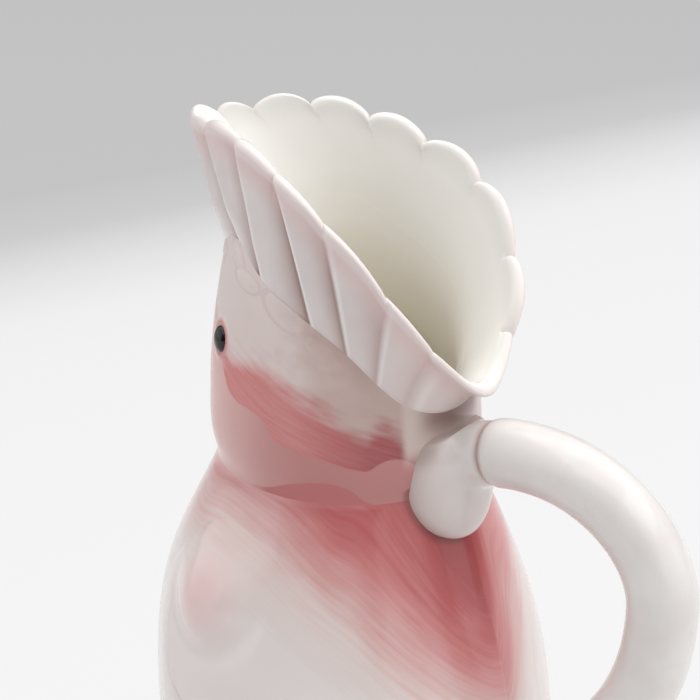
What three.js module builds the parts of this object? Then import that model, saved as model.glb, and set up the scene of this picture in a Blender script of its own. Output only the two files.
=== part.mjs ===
import * as THREE from 'three';

// A glazed earthenware carafe in the shape of a crested parrot.
// Millimetres. The bird stands on z = 0 and looks along -Y; its left is +X and the handle is at +Y.
// Every piece is a casting or an applied lump of clay, luted to its neighbour with slip.

// Slip joint between two pieces, and the cast wall
const SEAM = 0.3;
const WALL = 4.5;

// Height of the torso up to the neck and of the head above it, and levels as shares of those
const TORSO_HEIGHT = 175;
const HEAD_HEIGHT = 87;
const HIP_SHARE = 9 / 35;
const BELLY_SHARE = 17 / 35;
const SHOULDER_SHARE = 27 / 35;
const JAW_SHARE = 6 / 87;
const CHEEK_SHARE = 23 / 87;
const BROW_SHARE = 55 / 87;

// Half widths at those levels; the body is a little deeper than it is wide
const FOOT_HALF_WIDTH = 42;
const HIP_HALF_WIDTH = 57;
const BELLY_HALF_WIDTH = 60.5;
const SHOULDER_HALF_WIDTH = 54.2;
const NECK_HALF_WIDTH = 37.4;
const JAW_HALF_WIDTH = 39.2;
const CHEEK_HALF_WIDTH = 39.6;
const BROW_HALF_WIDTH = 35.2;
const CROWN_HALF_WIDTH = 26;
const BODY_DEEPER = 2.2;

// How far the middle of the section lies behind the foot's centre: the bird leans forward
const BELLY_SHIFT = 0.3;
const SHOULDER_SHIFT = -3;
const NECK_SHIFT = -2.3;
const BROW_SHIFT = -4;
const CROWN_SHIFT = -6.8;

// Flat foot and floor
const FOOT_BEVEL = 2.5;
const FLOOR = 6;

// Crest: degrees from the front, height of its foot above the neck, height of the feather there
const CREST_OUTLINE = [
  [0, 58, 37.9],
  [30, 65, 31.1],
  [61, 72, 28.9],
  [91, 62.5, 33.6],
  [125, 49, 28.4],
  [153, 31.5, 19.9],
  [180, 28, 6.2],
];
const CREST_STEP = 1.2;
const CREST_HOLLOW = 4;
const LIP_HALF_LENGTH = 55.4;
const LIP_HALF_WIDTH = 34.8;
const LIP_SHIFT = -5.4;
const LIP_POINT = 0.44;
const LIP_ROUND = 1.8;
// How much further out the lip stands on the right of the back, and where, in degrees
const LIP_SWELL = 3.8;
const SWELL_AT = -132;
const SWELL_SPREAD = 30;
const FLUTE_DEPTH = 2.6;
// Valleys between the feathers, degrees from the front, and how deep they notch the lip; modelled
// by hand, so the sides differ
const LEFT_VALLEYS = [20, 45, 69, 91, 113, 137, 155];
const RIGHT_VALLEYS = [17, 37, 60, 81, 100, 118, 139, 158.5];
const LEFT_SCALLOP_DEPTH = 1.8;
const RIGHT_SCALLOP_DEPTH = 3.6;
// The feathers sweep forward: degrees from the front at the lip and at the foot of the crest
const FEATHER_SWEEP = [
  [0, 0],
  [20, 30],
  [45, 61],
  [69, 83],
  [91, 112],
  [113, 128],
  [137, 140],
  [155, 152],
  [180, 180],
];
// The throat inside: where it begins to open, and how far it is drawn in at the sides and the back
const THROAT_UNDER_CREST = 30;
const THROAT_ABOVE_NECK = 6;
const THROAT_IN = 2.5;
const THROAT_BACK_IN = 6;
const SPOUT_RAISE = 2;

// Handle
const HANDLE_RADIUS = 10.3;
const KNUCKLE_NECKING = 1.6;
const KNUCKLE_ROUND = 3;
const KNUCKLE_OUT = 17;
const UPPER_FLARE_SIDE = 7.7;
const UPPER_FLARE_UP = 9.7;
const UPPER_ROOT_UNDER_CREST = 2;
const LOWER_FLARE_SIDE = 3.7;
const LOWER_FLARE_UP = 5.7;
const LOWER_ROOT_UNDER_BELLY = 1;
const ROOT_BUTT = 9;
const ARCH_TOP_OUT = 30;
const ARCH_UNDER_LIP = 6.9;
const ARCH_DROP = 34;
const FINGER_GAP = 38;

// Wings: degrees from the front, share of the wing's height
const WING_EDGE_AT = [
  [75, 1],
  [52, 0.9],
  [44, 0.73],
  [50, 0.52],
  [64, 0.33],
  [92, 0.13],
  [122, 0],
  [147, 0.05],
  [158, 0.3],
  [162, 0.6],
  [146, 0.8],
  [112, 0.95],
];
const WING_CENTRE = [102, 0.5];
const WING_FOOT_GAP = 28;
const WING_NECK_GAP = 10;
const WING_RELIEF = 1.8;
const WING_EDGE = 0.5;
const WING_BOSS = 3;
const WING_BOSS_AT = [68, 0.82];
const WING_BOSS_RADIUS = 19;

// Tail
const TAIL_TOP_HALF_WIDTH = 8;
const TAIL_END_HALF_WIDTH = 21;
const TAIL_ROOT_GAP = 6.5;
const TAIL_FOOT_GAP = 4;
const TAIL_RELIEF = 4;
const TAIL_EDGE = 1;
const TAIL_FEATHERS = 5;
const TAIL_GROOVE_DEPTH = 1.4;

// Feet
const FOOT_AT = 26;
const FOOT_PAD_HALF_WIDTH = 11;
const FOOT_PAD_HEIGHT = 15;
const FOOT_PAD_GAP = 3.5;
const FOOT_RELIEF = 5;
const FOOT_EDGE = 0.6;
const TOES = 3;
const TOE_GROOVE_DEPTH = 1.6;

// Face
const EYE_AT = 59;
const EYE_ABOVE_NECK = 41.7;
const EYE_HALF_WIDTH = 3.4;
const EYE_HALF_HEIGHT = 3.9;
const EYE_RELIEF = 1.8;
const EYE_EDGE = 0.3;
const BEAK_ABOVE_NECK = 33;
const BEAK_HALF_WIDTH = 9.5;
const BEAK_HALF_HEIGHT = 11;
const BEAK_OUT = 10.5;
const BEAK_KNEE_DROP = 2;
const BEAK_HOOK = 18;
const BEAK_TIP_IN = 3;
const LOWER_BEAK_GAP = 4;
const LOWER_BEAK_HALF_WIDTH = 6.5;
const LOWER_BEAK_HALF_HEIGHT = 4.5;
const LOWER_BEAK_OUT = 7;
const LOWER_BEAK_RISE = 2;
const LOWER_BEAK_TIP_IN = 2;

// Facets
const TORSO_SIDES = 56;
const HEAD_SIDES = 112;
const HANDLE_SIDES = 20;

// Levels of the body
const NECK_Z = TORSO_HEIGHT;
const HIP_Z = NECK_Z * HIP_SHARE;
const BELLY_Z = NECK_Z * BELLY_SHARE;
const SHOULDER_Z = NECK_Z * SHOULDER_SHARE;
const JAW_Z = NECK_Z + HEAD_HEIGHT * JAW_SHARE;
const CHEEK_Z = NECK_Z + HEAD_HEIGHT * CHEEK_SHARE;
const BROW_Z = NECK_Z + HEAD_HEIGHT * BROW_SHARE;
const CROWN_Z = NECK_Z + HEAD_HEIGHT;

const rad = THREE.MathUtils.degToRad;
const lerp = THREE.MathUtils.lerp;
const UP = new THREE.Vector3(0, 0, 1);
const BACK = Math.PI;

// A smooth curve through [position, value] points; flat ends suit a curve that is mirrored there.
function through(points, flatEnds = false) {
  const last = points.length - 1;
  const step = (i) => points[i + 1][0] - points[i][0];
  const rise = (i) => (points[i + 1][1] - points[i][1]) / step(i);
  const slope = points.map((p, i) => {
    if (i === 0) return flatEnds ? 0 : rise(0);
    if (i === last) return flatEnds ? 0 : rise(last - 1);
    return (rise(i - 1) * step(i) + rise(i) * step(i - 1)) / (step(i) + step(i - 1));
  });
  return (at) => {
    const x = THREE.MathUtils.clamp(at, points[0][0], points[last][0]);
    let i = 0;
    while (i < last - 1 && x > points[i + 1][0]) i += 1;
    const h = step(i);
    const u = (x - points[i][0]) / h;
    const v = 1 - u;
    const ends = (1 + 2 * u) * v * v * points[i][1] + u * u * (3 - 2 * u) * points[i + 1][1];
    return ends + u * v * v * h * slope[i] - u * u * v * h * slope[i + 1];
  };
}

const torsoHalfWidth = through([
  [0, FOOT_HALF_WIDTH],
  [HIP_Z, HIP_HALF_WIDTH],
  [BELLY_Z, BELLY_HALF_WIDTH],
  [SHOULDER_Z, SHOULDER_HALF_WIDTH],
  [NECK_Z, NECK_HALF_WIDTH],
]);
const headHalfWidth = through([
  [NECK_Z, NECK_HALF_WIDTH],
  [JAW_Z, JAW_HALF_WIDTH],
  [CHEEK_Z, CHEEK_HALF_WIDTH],
  [BROW_Z, BROW_HALF_WIDTH],
  [CROWN_Z, CROWN_HALF_WIDTH],
]);
const bodyShift = through([
  [0, 0],
  [BELLY_Z, BELLY_SHIFT],
  [SHOULDER_Z, SHOULDER_SHIFT],
  [NECK_Z, NECK_SHIFT],
  [BROW_Z, BROW_SHIFT],
  [CROWN_Z, CROWN_SHIFT],
]);

// A point of the body's skin at an angle from the front, left positive; inset goes into the wall.
function skin(angle, z, inset = 0) {
  const width = (z > NECK_Z ? headHalfWidth(z) : torsoHalfWidth(z)) - inset;
  const y = bodyShift(z) - (width + BODY_DEEPER) * Math.cos(angle);
  return new THREE.Vector3(width * Math.sin(angle), y, z);
}

// The skin's outward normal, measured across a short step.
function skinNormal(angle, z) {
  const across = skin(angle + 0.01, z).sub(skin(angle - 0.01, z));
  const along = skin(angle, z + 0.5).sub(skin(angle, z - 0.5));
  return across.cross(along).normalize();
}

function ring(sides, point) {
  const count = Math.round(sides);
  return Array.from({ length: count }, (_, i) => point((2 * Math.PI * i) / count));
}

function steps(count, from, to) {
  return Array.from({ length: count + 1 }, (_, i) => lerp(from, to, i / count));
}

// A closed solid woven from rings of points; a ring of one point is a pole, and a loop of rings
// without poles closes on itself.
function weave(rings, loop = false) {
  const positions = [];
  const start = rings.map((points) => {
    const first = positions.length / 3;
    points.forEach((p) => positions.push(p.x, p.y, p.z));
    return first;
  });
  const index = [];
  const pairs = loop ? rings.length : rings.length - 1;
  for (let r = 0; r < pairs; r += 1) {
    const s = (r + 1) % rings.length;
    const sides = Math.max(rings[r].length, rings[s].length);
    for (let i = 0; i < sides; i += 1) {
      const j = (i + 1) % sides;
      const a = start[r] + (rings[r].length > 1 ? i : 0);
      const b = start[r] + (rings[r].length > 1 ? j : 0);
      const c = start[s] + (rings[s].length > 1 ? j : 0);
      const d = start[s] + (rings[s].length > 1 ? i : 0);
      if (a !== b) index.push(a, b, c);
      if (c !== d) index.push(a, c, d);
    }
  }
  const geometry = new THREE.BufferGeometry();
  geometry.setAttribute('position', new THREE.Float32BufferAttribute(positions, 3));
  geometry.setIndex(volume(positions, index) > 0 ? index : index.reverse());
  geometry.computeVertexNormals();
  return geometry;
}

function volume(positions, index) {
  const corner = (i) => new THREE.Vector3().fromArray(positions, 3 * index[i]);
  let sum = 0;
  for (let i = 0; i < index.length; i += 3) {
    sum += corner(i).dot(corner(i + 1).cross(corner(i + 2)));
  }
  return sum / 6;
}

function glazed(name, geometry, colour, roughness = 0.18) {
  const material = new THREE.MeshStandardMaterial({ color: colour, roughness, metalness: 0 });
  const mesh = new THREE.Mesh(geometry, material);
  mesh.name = name;
  return mesh;
}

// Body castings
function torsoShell() {
  const mouth = NECK_Z - SEAM / 2;
  const rings = [[new THREE.Vector3(0, 0, 0)]];
  rings.push(ring(TORSO_SIDES, (a) => skin(a, 0, FOOT_BEVEL)));
  steps(12, FOOT_BEVEL, mouth).forEach((z) => rings.push(ring(TORSO_SIDES, (a) => skin(a, z))));
  steps(8, mouth, FLOOR).forEach((z) => rings.push(ring(TORSO_SIDES, (a) => skin(a, z, WALL))));
  rings.push([new THREE.Vector3(0, bodyShift(FLOOR), FLOOR)]);
  return weave(rings);
}

const crestFoot = through(CREST_OUTLINE.map(([angle, foot]) => [rad(angle), NECK_Z + foot]), true);
const crestTop = through(
  CREST_OUTLINE.map(([angle, foot, feather]) => [rad(angle), NECK_Z + foot + feather]),
  true,
);

const signed = (angle) => Math.atan2(Math.sin(angle), Math.cos(angle));
const footPoint = (angle) => skin(angle, crestFoot(Math.abs(signed(angle))));

// The lip seen from above is an egg, drawn to a point at the front and swollen on the right.
const lipEgg = (angle) => Math.sin(angle) * (1 - LIP_POINT * Math.cos(angle));
const lipPeak = Math.max(...steps(180, 0, BACK).map(lipEgg));

function lipPoint(angle) {
  const x = (LIP_HALF_WIDTH * lipEgg(angle)) / lipPeak;
  const y = -LIP_HALF_LENGTH * Math.cos(angle);
  const off = (signed(angle) - rad(SWELL_AT)) / rad(SWELL_SPREAD);
  const wider = 1 + (LIP_SWELL * Math.exp(-(off ** 4))) / Math.hypot(x, y);
  return new THREE.Vector3(x * wider, LIP_SHIFT + y * wider, crestTop(Math.abs(signed(angle))));
}

function lipOutward(angle) {
  const lip = lipPoint(angle);
  return new THREE.Vector3(lip.x, lip.y - LIP_SHIFT, 0).normalize();
}

// Into the wall from its outer face, square to the way the feather leans there.
function crestInward(angle) {
  const lean = lipPoint(angle).sub(footPoint(angle));
  const outward = lipOutward(angle);
  const level = lean.dot(outward);
  return outward.multiplyScalar(-lean.z).addScaledVector(UP, level).normalize();
}

// The inside of the throat and mouth in one curve: upright in the head, leaning with the feathers
// at the lip.
const backward = (angle, from, to) => THREE.MathUtils.smoothstep(Math.abs(signed(angle)), rad(from), rad(to));
const throatZ = (angle) =>
  Math.max(footPoint(angle).z - THROAT_UNDER_CREST, NECK_Z + THROAT_ABOVE_NECK);
const throatIn = (angle) => lerp(THROAT_IN, THROAT_BACK_IN, backward(angle, 115, 165));

function bore(angle, t) {
  const low = skin(angle, throatZ(angle), WALL + throatIn(angle));
  const high = lipPoint(angle).addScaledVector(crestInward(angle), WALL);
  const lean = lipPoint(angle).sub(footPoint(angle)).normalize();
  const reach = 0.42 * low.distanceTo(high);
  const rising = low.clone().addScaledVector(UP, reach);
  const leaning = high.clone().addScaledVector(lean, -reach);
  leaning.z += SPOUT_RAISE * backward(angle, 130, 170);
  return new THREE.CubicBezierCurve3(low, rising, leaning, high).getPoint(t);
}

// Share of the bore at which the crest is luted to the head, level with the crest's foot
function lutedAt(angle) {
  const level = footPoint(angle).z;
  let [under, over] = [0, 1];
  for (let halving = 0; halving < 20; halving += 1) {
    const middle = (under + over) / 2;
    if (bore(angle, middle).z < level) under = middle;
    else over = middle;
  }
  return under;
}

function headShell() {
  const bottom = NECK_Z + SEAM / 2;
  const rings = [];
  steps(5, 0, 1).slice(0, -1).forEach((t) => {
    const inset = (a) => WALL + throatIn(a) * THREE.MathUtils.smoothstep(t, 0, 1);
    rings.push(ring(HEAD_SIDES, (a) => skin(a, lerp(bottom, throatZ(a), t), inset(a))));
  });
  steps(4, 0, 1).forEach((t) => rings.push(ring(HEAD_SIDES, (a) => bore(a, t * lutedAt(a)))));
  steps(6, 1, 0).forEach((t) => {
    rings.push(ring(HEAD_SIDES, (a) => skin(a, lerp(bottom, footPoint(a).z, t))));
  });
  return weave(rings, true);
}

const valleys = [...RIGHT_VALLEYS.map((a) => rad(-a)).reverse(), ...LEFT_VALLEYS.map(rad)];

// The angle at the lip that a place on the crest leads up to, along the sweep of the feathers
function lipAngle(angle, t) {
  const turn = Math.abs(signed(angle));
  const knots = FEATHER_SWEEP.map(([lip, foot]) => rad(lerp(foot, lip, t)));
  let i = 0;
  while (i < knots.length - 2 && turn > knots[i + 1]) i += 1;
  const share = (turn - knots[i]) / (knots[i + 1] - knots[i]);
  return Math.sign(signed(angle)) * rad(lerp(FEATHER_SWEEP[i][0], FEATHER_SWEEP[i + 1][0], share));
}

// 1 in the valley between two feathers, 0 on a feather's crown
function sunk(angle, t) {
  const a = lipAngle(angle, t);
  const turn = 2 * Math.PI;
  const above = valleys.find((v) => v > a) ?? valleys[0] + turn;
  const below = valleys.findLast((v) => v <= a) ?? valleys[valleys.length - 1] - turn;
  return 1 - Math.sin((Math.PI * (a - below)) / (above - below)) ** 0.7;
}

// How far the lip is notched, fading down the feather
const notch = (angle, t) =>
  (signed(angle) > 0 ? LEFT_SCALLOP_DEPTH : RIGHT_SCALLOP_DEPTH) * sunk(angle, 1) * t ** 8;

// The feather's smooth face, from the foot to the lip.
function crestFace(angle, t) {
  const foot = footPoint(angle);
  const lip = lipPoint(angle);
  const knee = foot.clone().lerp(lip, 0.42).addScaledVector(UP, CREST_HOLLOW);
  const curve = new THREE.QuadraticBezierCurve3(foot, knee, lip);
  return curve.getPoint(t);
}

function crestOuter(angle, t) {
  const out = CREST_STEP * (1 - t) - FLUTE_DEPTH * sunk(angle, t) * t ** 0.8;
  const point = crestFace(angle, t).addScaledVector(lipOutward(angle), out);
  return point.addScaledVector(UP, SEAM * (1 - t) - notch(angle, t));
}

function crestInner(angle, t) {
  return bore(angle, lerp(lutedAt(angle), 1, t)).addScaledVector(UP, SEAM * (1 - t) - notch(angle, t));
}

function crestLip(angle) {
  const middle = crestOuter(angle, 1).lerp(crestInner(angle, 1), 0.5);
  const along = crestFace(angle, 1).sub(crestFace(angle, 0.9)).normalize();
  return middle.addScaledVector(along, LIP_ROUND);
}

function crestMouth() {
  const rings = [ring(HEAD_SIDES, (a) => footPoint(a).addScaledVector(UP, SEAM))];
  steps(6, 0, 1).forEach((t) => rings.push(ring(HEAD_SIDES, (a) => crestOuter(a, t))));
  rings.push(ring(HEAD_SIDES, crestLip));
  steps(4, 1, 0).forEach((t) => rings.push(ring(HEAD_SIDES, (a) => crestInner(a, t))));
  return weave(rings, true);
}

// Places of the handle's two roots and of the arch between them
const upperRootHalfWidth = HANDLE_RADIUS + UPPER_FLARE_SIDE;
const upperRootHalfHeight = HANDLE_RADIUS + UPPER_FLARE_UP;
const lowerRootHalfWidth = HANDLE_RADIUS + LOWER_FLARE_SIDE;
const lowerRootHalfHeight = HANDLE_RADIUS + LOWER_FLARE_UP;
const upperRootZ = crestFoot(BACK) - UPPER_ROOT_UNDER_CREST - upperRootHalfHeight;
const lowerRootZ = BELLY_Z - LOWER_ROOT_UNDER_BELLY;
const upperRoot = skin(BACK, upperRootZ);
const lowerRoot = skin(BACK, lowerRootZ);
const archTopZ = crestTop(BACK) - ARCH_UNDER_LIP - HANDLE_RADIUS;
const archTop = new THREE.Vector3(0, upperRoot.y + ARCH_TOP_OUT, archTopZ);
const archOutY = Math.max(lowerRoot.y + FINGER_GAP, archTop.y) + HANDLE_RADIUS;
const archOut = new THREE.Vector3(0, archOutY, archTopZ - ARCH_DROP);

// An applied lump: its bed follows the skin, its face stands relief(share, turn, angle, z) above it.
// outline(turn) gives [angle, z] once round the edge, share runs from the centre to that edge.
function applied(centre, outline, relief, sides, shares) {
  const place = (share, turn, height) => {
    const [angle, z] = outline(turn);
    const a = lerp(centre[0], angle, share);
    const h = lerp(centre[1], z, share);
    const rise = SEAM + (height ? height(share, turn, a, h) : 0);
    return skin(a, h).addScaledVector(skinNormal(a, h), rise);
  };
  const rings = [[place(0, 0)]];
  shares.forEach((share) => rings.push(ring(sides, (turn) => place(share, turn))));
  [...shares].reverse().forEach((share) => rings.push(ring(sides, (turn) => place(share, turn, relief))));
  rings.push([place(0, 0, relief)]);
  return weave(rings);
}

// A rounded face that still has an edge to it.
const pillow = (share, edge, full) => edge + (full - edge) * Math.sqrt(1 - share ** 4);

const wingFoot = FOOT_BEVEL + WING_FOOT_GAP;
const wingZ = (share) => lerp(wingFoot, NECK_Z - WING_NECK_GAP, share);

function wing(side) {
  const knots = WING_EDGE_AT.map(([angle, share]) => new THREE.Vector3(rad(angle), share, 0));
  const edge = new THREE.CatmullRomCurve3(knots, true);
  const outline = (turn) => {
    const p = edge.getPoint(turn / (2 * Math.PI));
    return [side * p.x, wingZ(p.y)];
  };
  const boss = skin(side * rad(WING_BOSS_AT[0]), wingZ(WING_BOSS_AT[1]));
  const relief = (share, turn, angle, z) => {
    const away = skin(angle, z).distanceTo(boss) / WING_BOSS_RADIUS;
    const swell = WING_BOSS * Math.exp(-away * away) * (1 - share ** 4);
    return pillow(share, WING_EDGE, WING_RELIEF) + swell;
  };
  const centre = [side * rad(WING_CENTRE[0]), wingZ(WING_CENTRE[1])];
  return applied(centre, outline, relief, 52, steps(8, 1 / 9, 1));
}

// The tail fans out below the handle's lower root.
function tail() {
  const low = FOOT_BEVEL + TAIL_FOOT_GAP;
  const high = lowerRootZ - lowerRootHalfHeight - TAIL_ROOT_GAP;
  const share01 = (z) => (z - low) / (high - low);
  const halfTurn = (z) => lerp(TAIL_END_HALF_WIDTH, TAIL_TOP_HALF_WIDTH, share01(z)) / torsoHalfWidth(z);
  const outline = (turn) => {
    const z = lerp(low, high, (1 - Math.cos(turn)) / 2);
    const square = THREE.MathUtils.clamp(1.7 * Math.sin(turn), -1, 1);
    return [BACK + halfTurn(z) * square, z];
  };
  const relief = (share, turn, angle, z) => {
    const across = (angle - BACK) / halfTurn(z);
    const groove = Math.abs(Math.cos((Math.PI * TAIL_FEATHERS * (across + 1)) / 2));
    const fade = (1 - share ** 4) * (1 - share01(z));
    return pillow(share, TAIL_EDGE, TAIL_RELIEF) - TAIL_GROOVE_DEPTH * groove * fade;
  };
  return applied([BACK, (low + high) / 2], outline, relief, 40, steps(5, 1 / 6, 1));
}

function foot(side) {
  const low = FOOT_BEVEL + FOOT_PAD_GAP;
  const half = FOOT_PAD_HALF_WIDTH / FOOT_HALF_WIDTH;
  const outline = (turn) => {
    const z = low + (FOOT_PAD_HEIGHT * (1 - Math.cos(turn))) / 2;
    return [side * rad(FOOT_AT) + half * Math.sin(turn), z];
  };
  const relief = (share, turn, angle, z) => {
    const across = (angle - side * rad(FOOT_AT)) / half;
    const groove = Math.abs(Math.cos((Math.PI * TOES * (across + 1)) / 2));
    const fade = (1 - share ** 4) * (1 - (z - low) / FOOT_PAD_HEIGHT);
    return pillow(share, FOOT_EDGE, FOOT_RELIEF) - TOE_GROOVE_DEPTH * groove * fade;
  };
  const centre = [side * rad(FOOT_AT), low + FOOT_PAD_HEIGHT / 2];
  return applied(centre, outline, relief, 30, steps(3, 0.25, 1));
}

function eye(side) {
  const z = NECK_Z + EYE_ABOVE_NECK;
  const half = EYE_HALF_WIDTH / headHalfWidth(z);
  const outline = (turn) => [
    side * rad(EYE_AT) + half * Math.sin(turn),
    z + EYE_HALF_HEIGHT * Math.cos(turn),
  ];
  const relief = (share) => pillow(share, EYE_EDGE, EYE_RELIEF);
  return applied([side * rad(EYE_AT), z], outline, relief, 16, [0.4, 0.75, 1]);
}

// The bed of a root or a beak: an ellipse on the skin, moved off it along one direction.
function bedPoint(angle, z, halfWidth, halfHeight, off) {
  const at = skin(angle, z);
  const turnOf = halfWidth / Math.hypot(at.x, at.y - bodyShift(z));
  return (share, turn) => {
    const a = angle + turnOf * share * Math.cos(turn);
    const h = z + halfHeight * share * Math.sin(turn);
    return skin(a, h).addScaledVector(off, SEAM);
  };
}

const bed = (point, sides) => [
  [point(0, 0)],
  ring(sides, (turn) => point(1 / 3, turn)),
  ring(sides, (turn) => point(2 / 3, turn)),
  ring(sides, (turn) => point(1, turn)),
];

// A beak: every line of its skin runs from the bed round a knee to the one tip.
function horn(z, halfWidth, halfHeight, out, dropKnee, dropTip, tipIn) {
  const forward = new THREE.Vector3(0, -1, 0);
  const point = bedPoint(0, z, halfWidth, halfHeight, forward);
  const root = skin(0, z);
  const tip = new THREE.Vector3(0, root.y - out + tipIn, z - dropTip);
  const rings = bed(point, HANDLE_SIDES);
  [0.2, 0.4, 0.6, 0.8, 0.93].forEach((t) => {
    rings.push(
      ring(HANDLE_SIDES, (turn) => {
        const knee = new THREE.Vector3(
          0.8 * halfWidth * Math.cos(turn),
          root.y - out,
          z - dropKnee + 0.6 * halfHeight * Math.sin(turn),
        );
        return new THREE.QuadraticBezierCurve3(point(1, turn), knee, tip).getPoint(t);
      }),
    );
  });
  rings.push([tip]);
  return weave(rings);
}

const beakZ = NECK_Z + BEAK_ABOVE_NECK;
const lowerBeakZ = beakZ - BEAK_HALF_HEIGHT - LOWER_BEAK_GAP - LOWER_BEAK_HALF_HEIGHT;
const upperBeak = () =>
  horn(beakZ, BEAK_HALF_WIDTH, BEAK_HALF_HEIGHT, BEAK_OUT, BEAK_KNEE_DROP, BEAK_HOOK, BEAK_TIP_IN);
const lowerBeak = () =>
  horn(
    lowerBeakZ,
    LOWER_BEAK_HALF_WIDTH,
    LOWER_BEAK_HALF_HEIGHT,
    LOWER_BEAK_OUT,
    0,
    -LOWER_BEAK_RISE,
    LOWER_BEAK_TIP_IN,
  );

// The handle's centre line in the YZ plane, from the upper root over the arch to the lower root
function handleLine() {
  const yz = (y, z) => new THREE.Vector3(0, y, z);
  const bend = 0.5523;
  const line = new THREE.CurvePath();
  line.add(
    new THREE.CubicBezierCurve3(
      upperRoot,
      yz(lerp(upperRoot.y, archTop.y, 0.23), lerp(upperRootZ, archTop.z, 0.75)),
      yz(lerp(upperRoot.y, archTop.y, 0.6), archTop.z),
      archTop,
    ),
  );
  line.add(
    new THREE.CubicBezierCurve3(
      archTop,
      yz(lerp(archTop.y, archOut.y, bend), archTop.z),
      yz(archOut.y, lerp(archOut.z, archTop.z, bend)),
      archOut,
    ),
  );
  line.add(
    new THREE.CubicBezierCurve3(
      archOut,
      yz(archOut.y, lerp(archOut.z, lowerRootZ, 0.4)),
      yz(lerp(lowerRoot.y, archOut.y, 0.68), lerp(lowerRootZ, archOut.z, 0.26)),
      lowerRoot,
    ),
  );
  return line;
}

const centreLine = handleLine();
const lineLength = centreLine.getLength();

// The round section of the handle at a length along its centre line.
function handleRing(length, radius) {
  const share = length / lineLength;
  const centre = centreLine.getPointAt(share);
  const along = centreLine.getTangentAt(share);
  const over = new THREE.Vector3(0, -along.z, along.y);
  return (turn) => {
    const side = new THREE.Vector3(radius * Math.cos(turn), 0, 0);
    return side.add(centre).addScaledVector(over, radius * Math.sin(turn));
  };
}

// A flared root, from its bed on the skin out to the knuckle where the arch begins.
function handleStub(z, halfWidth, halfHeight, knuckle, inward) {
  const off = new THREE.Vector3(0, 1, 0);
  const point = bedPoint(BACK, z, halfWidth, halfHeight, off);
  const face = knuckle + (inward * SEAM) / 2;
  const neck = handleRing(face + inward * KNUCKLE_ROUND, HANDLE_RADIUS - KNUCKLE_NECKING / 2);
  const leave = centreLine.getTangentAt(face / lineLength).multiplyScalar(inward * KNUCKLE_OUT * 0.5);
  const mirrored = (turn) => Math.PI - turn;
  const upright = (turn) => (inward < 0 ? turn : -turn);
  const rings = bed((share, turn) => point(share, mirrored(turn)), HANDLE_SIDES);
  [0.2, 0.4, 0.6, 0.8].forEach((t) => {
    rings.push(
      ring(HANDLE_SIDES, (turn) => {
        const from = point(1, mirrored(turn));
        const butt = from.clone().addScaledVector(off, ROOT_BUTT);
        const end = neck(upright(turn));
        const knee = end.clone().add(leave);
        return new THREE.CubicBezierCurve3(from, butt, knee, end).getPoint(t);
      }),
    );
  });
  rings.push(ring(HANDLE_SIDES, (turn) => neck(upright(turn))));
  const rim = handleRing(face, HANDLE_RADIUS - KNUCKLE_NECKING);
  rings.push(ring(HANDLE_SIDES, (turn) => rim(upright(turn))));
  rings.push([centreLine.getPointAt(face / lineLength)]);
  return weave(rings);
}

const upperKnuckle = KNUCKLE_OUT;
const lowerKnuckle = lineLength - KNUCKLE_OUT;

function handleArch() {
  const from = upperKnuckle + SEAM / 2;
  const to = lowerKnuckle - SEAM / 2;
  const rings = [[centreLine.getPointAt(from / lineLength)]];
  rings.push(ring(HANDLE_SIDES, handleRing(from, HANDLE_RADIUS - KNUCKLE_NECKING)));
  steps(20, from + KNUCKLE_ROUND, to - KNUCKLE_ROUND).forEach((length) => {
    rings.push(ring(HANDLE_SIDES, handleRing(length, HANDLE_RADIUS)));
  });
  rings.push(ring(HANDLE_SIDES, handleRing(to, HANDLE_RADIUS - KNUCKLE_NECKING)));
  rings.push([centreLine.getPointAt(to / lineLength)]);
  return weave(rings);
}

const WHITE = '#ece6e2';
const PINK = '#c77d80';
const BLUSH = '#e2c9c8';
const HORN = '#b9b2ab';
const BLACK = '#161414';

const upperStub = handleStub(upperRootZ, upperRootHalfWidth, upperRootHalfHeight, upperKnuckle, -1);
const lowerStub = handleStub(lowerRootZ, lowerRootHalfWidth, lowerRootHalfHeight, lowerKnuckle, 1);

const carafe = new THREE.Group();
carafe.add(
  glazed('torso_shell', torsoShell(), PINK),
  glazed('head_shell', headShell(), BLUSH),
  glazed('crest_mouth', crestMouth(), WHITE),
  glazed('left_wing', wing(1), WHITE),
  glazed('right_wing', wing(-1), WHITE),
  glazed('tail', tail(), WHITE),
  glazed('left_foot', foot(1), HORN, 0.25),
  glazed('right_foot', foot(-1), HORN, 0.25),
  glazed('upper_beak', upperBeak(), HORN, 0.25),
  glazed('lower_beak', lowerBeak(), HORN, 0.25),
  glazed('left_eye', eye(1), BLACK, 0.08),
  glazed('right_eye', eye(-1), BLACK, 0.08),
  glazed('handle_upper_stub', upperStub, WHITE),
  glazed('handle_arch', handleArch(), WHITE),
  glazed('handle_lower_stub', lowerStub, WHITE),
);

export default carafe;
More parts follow.
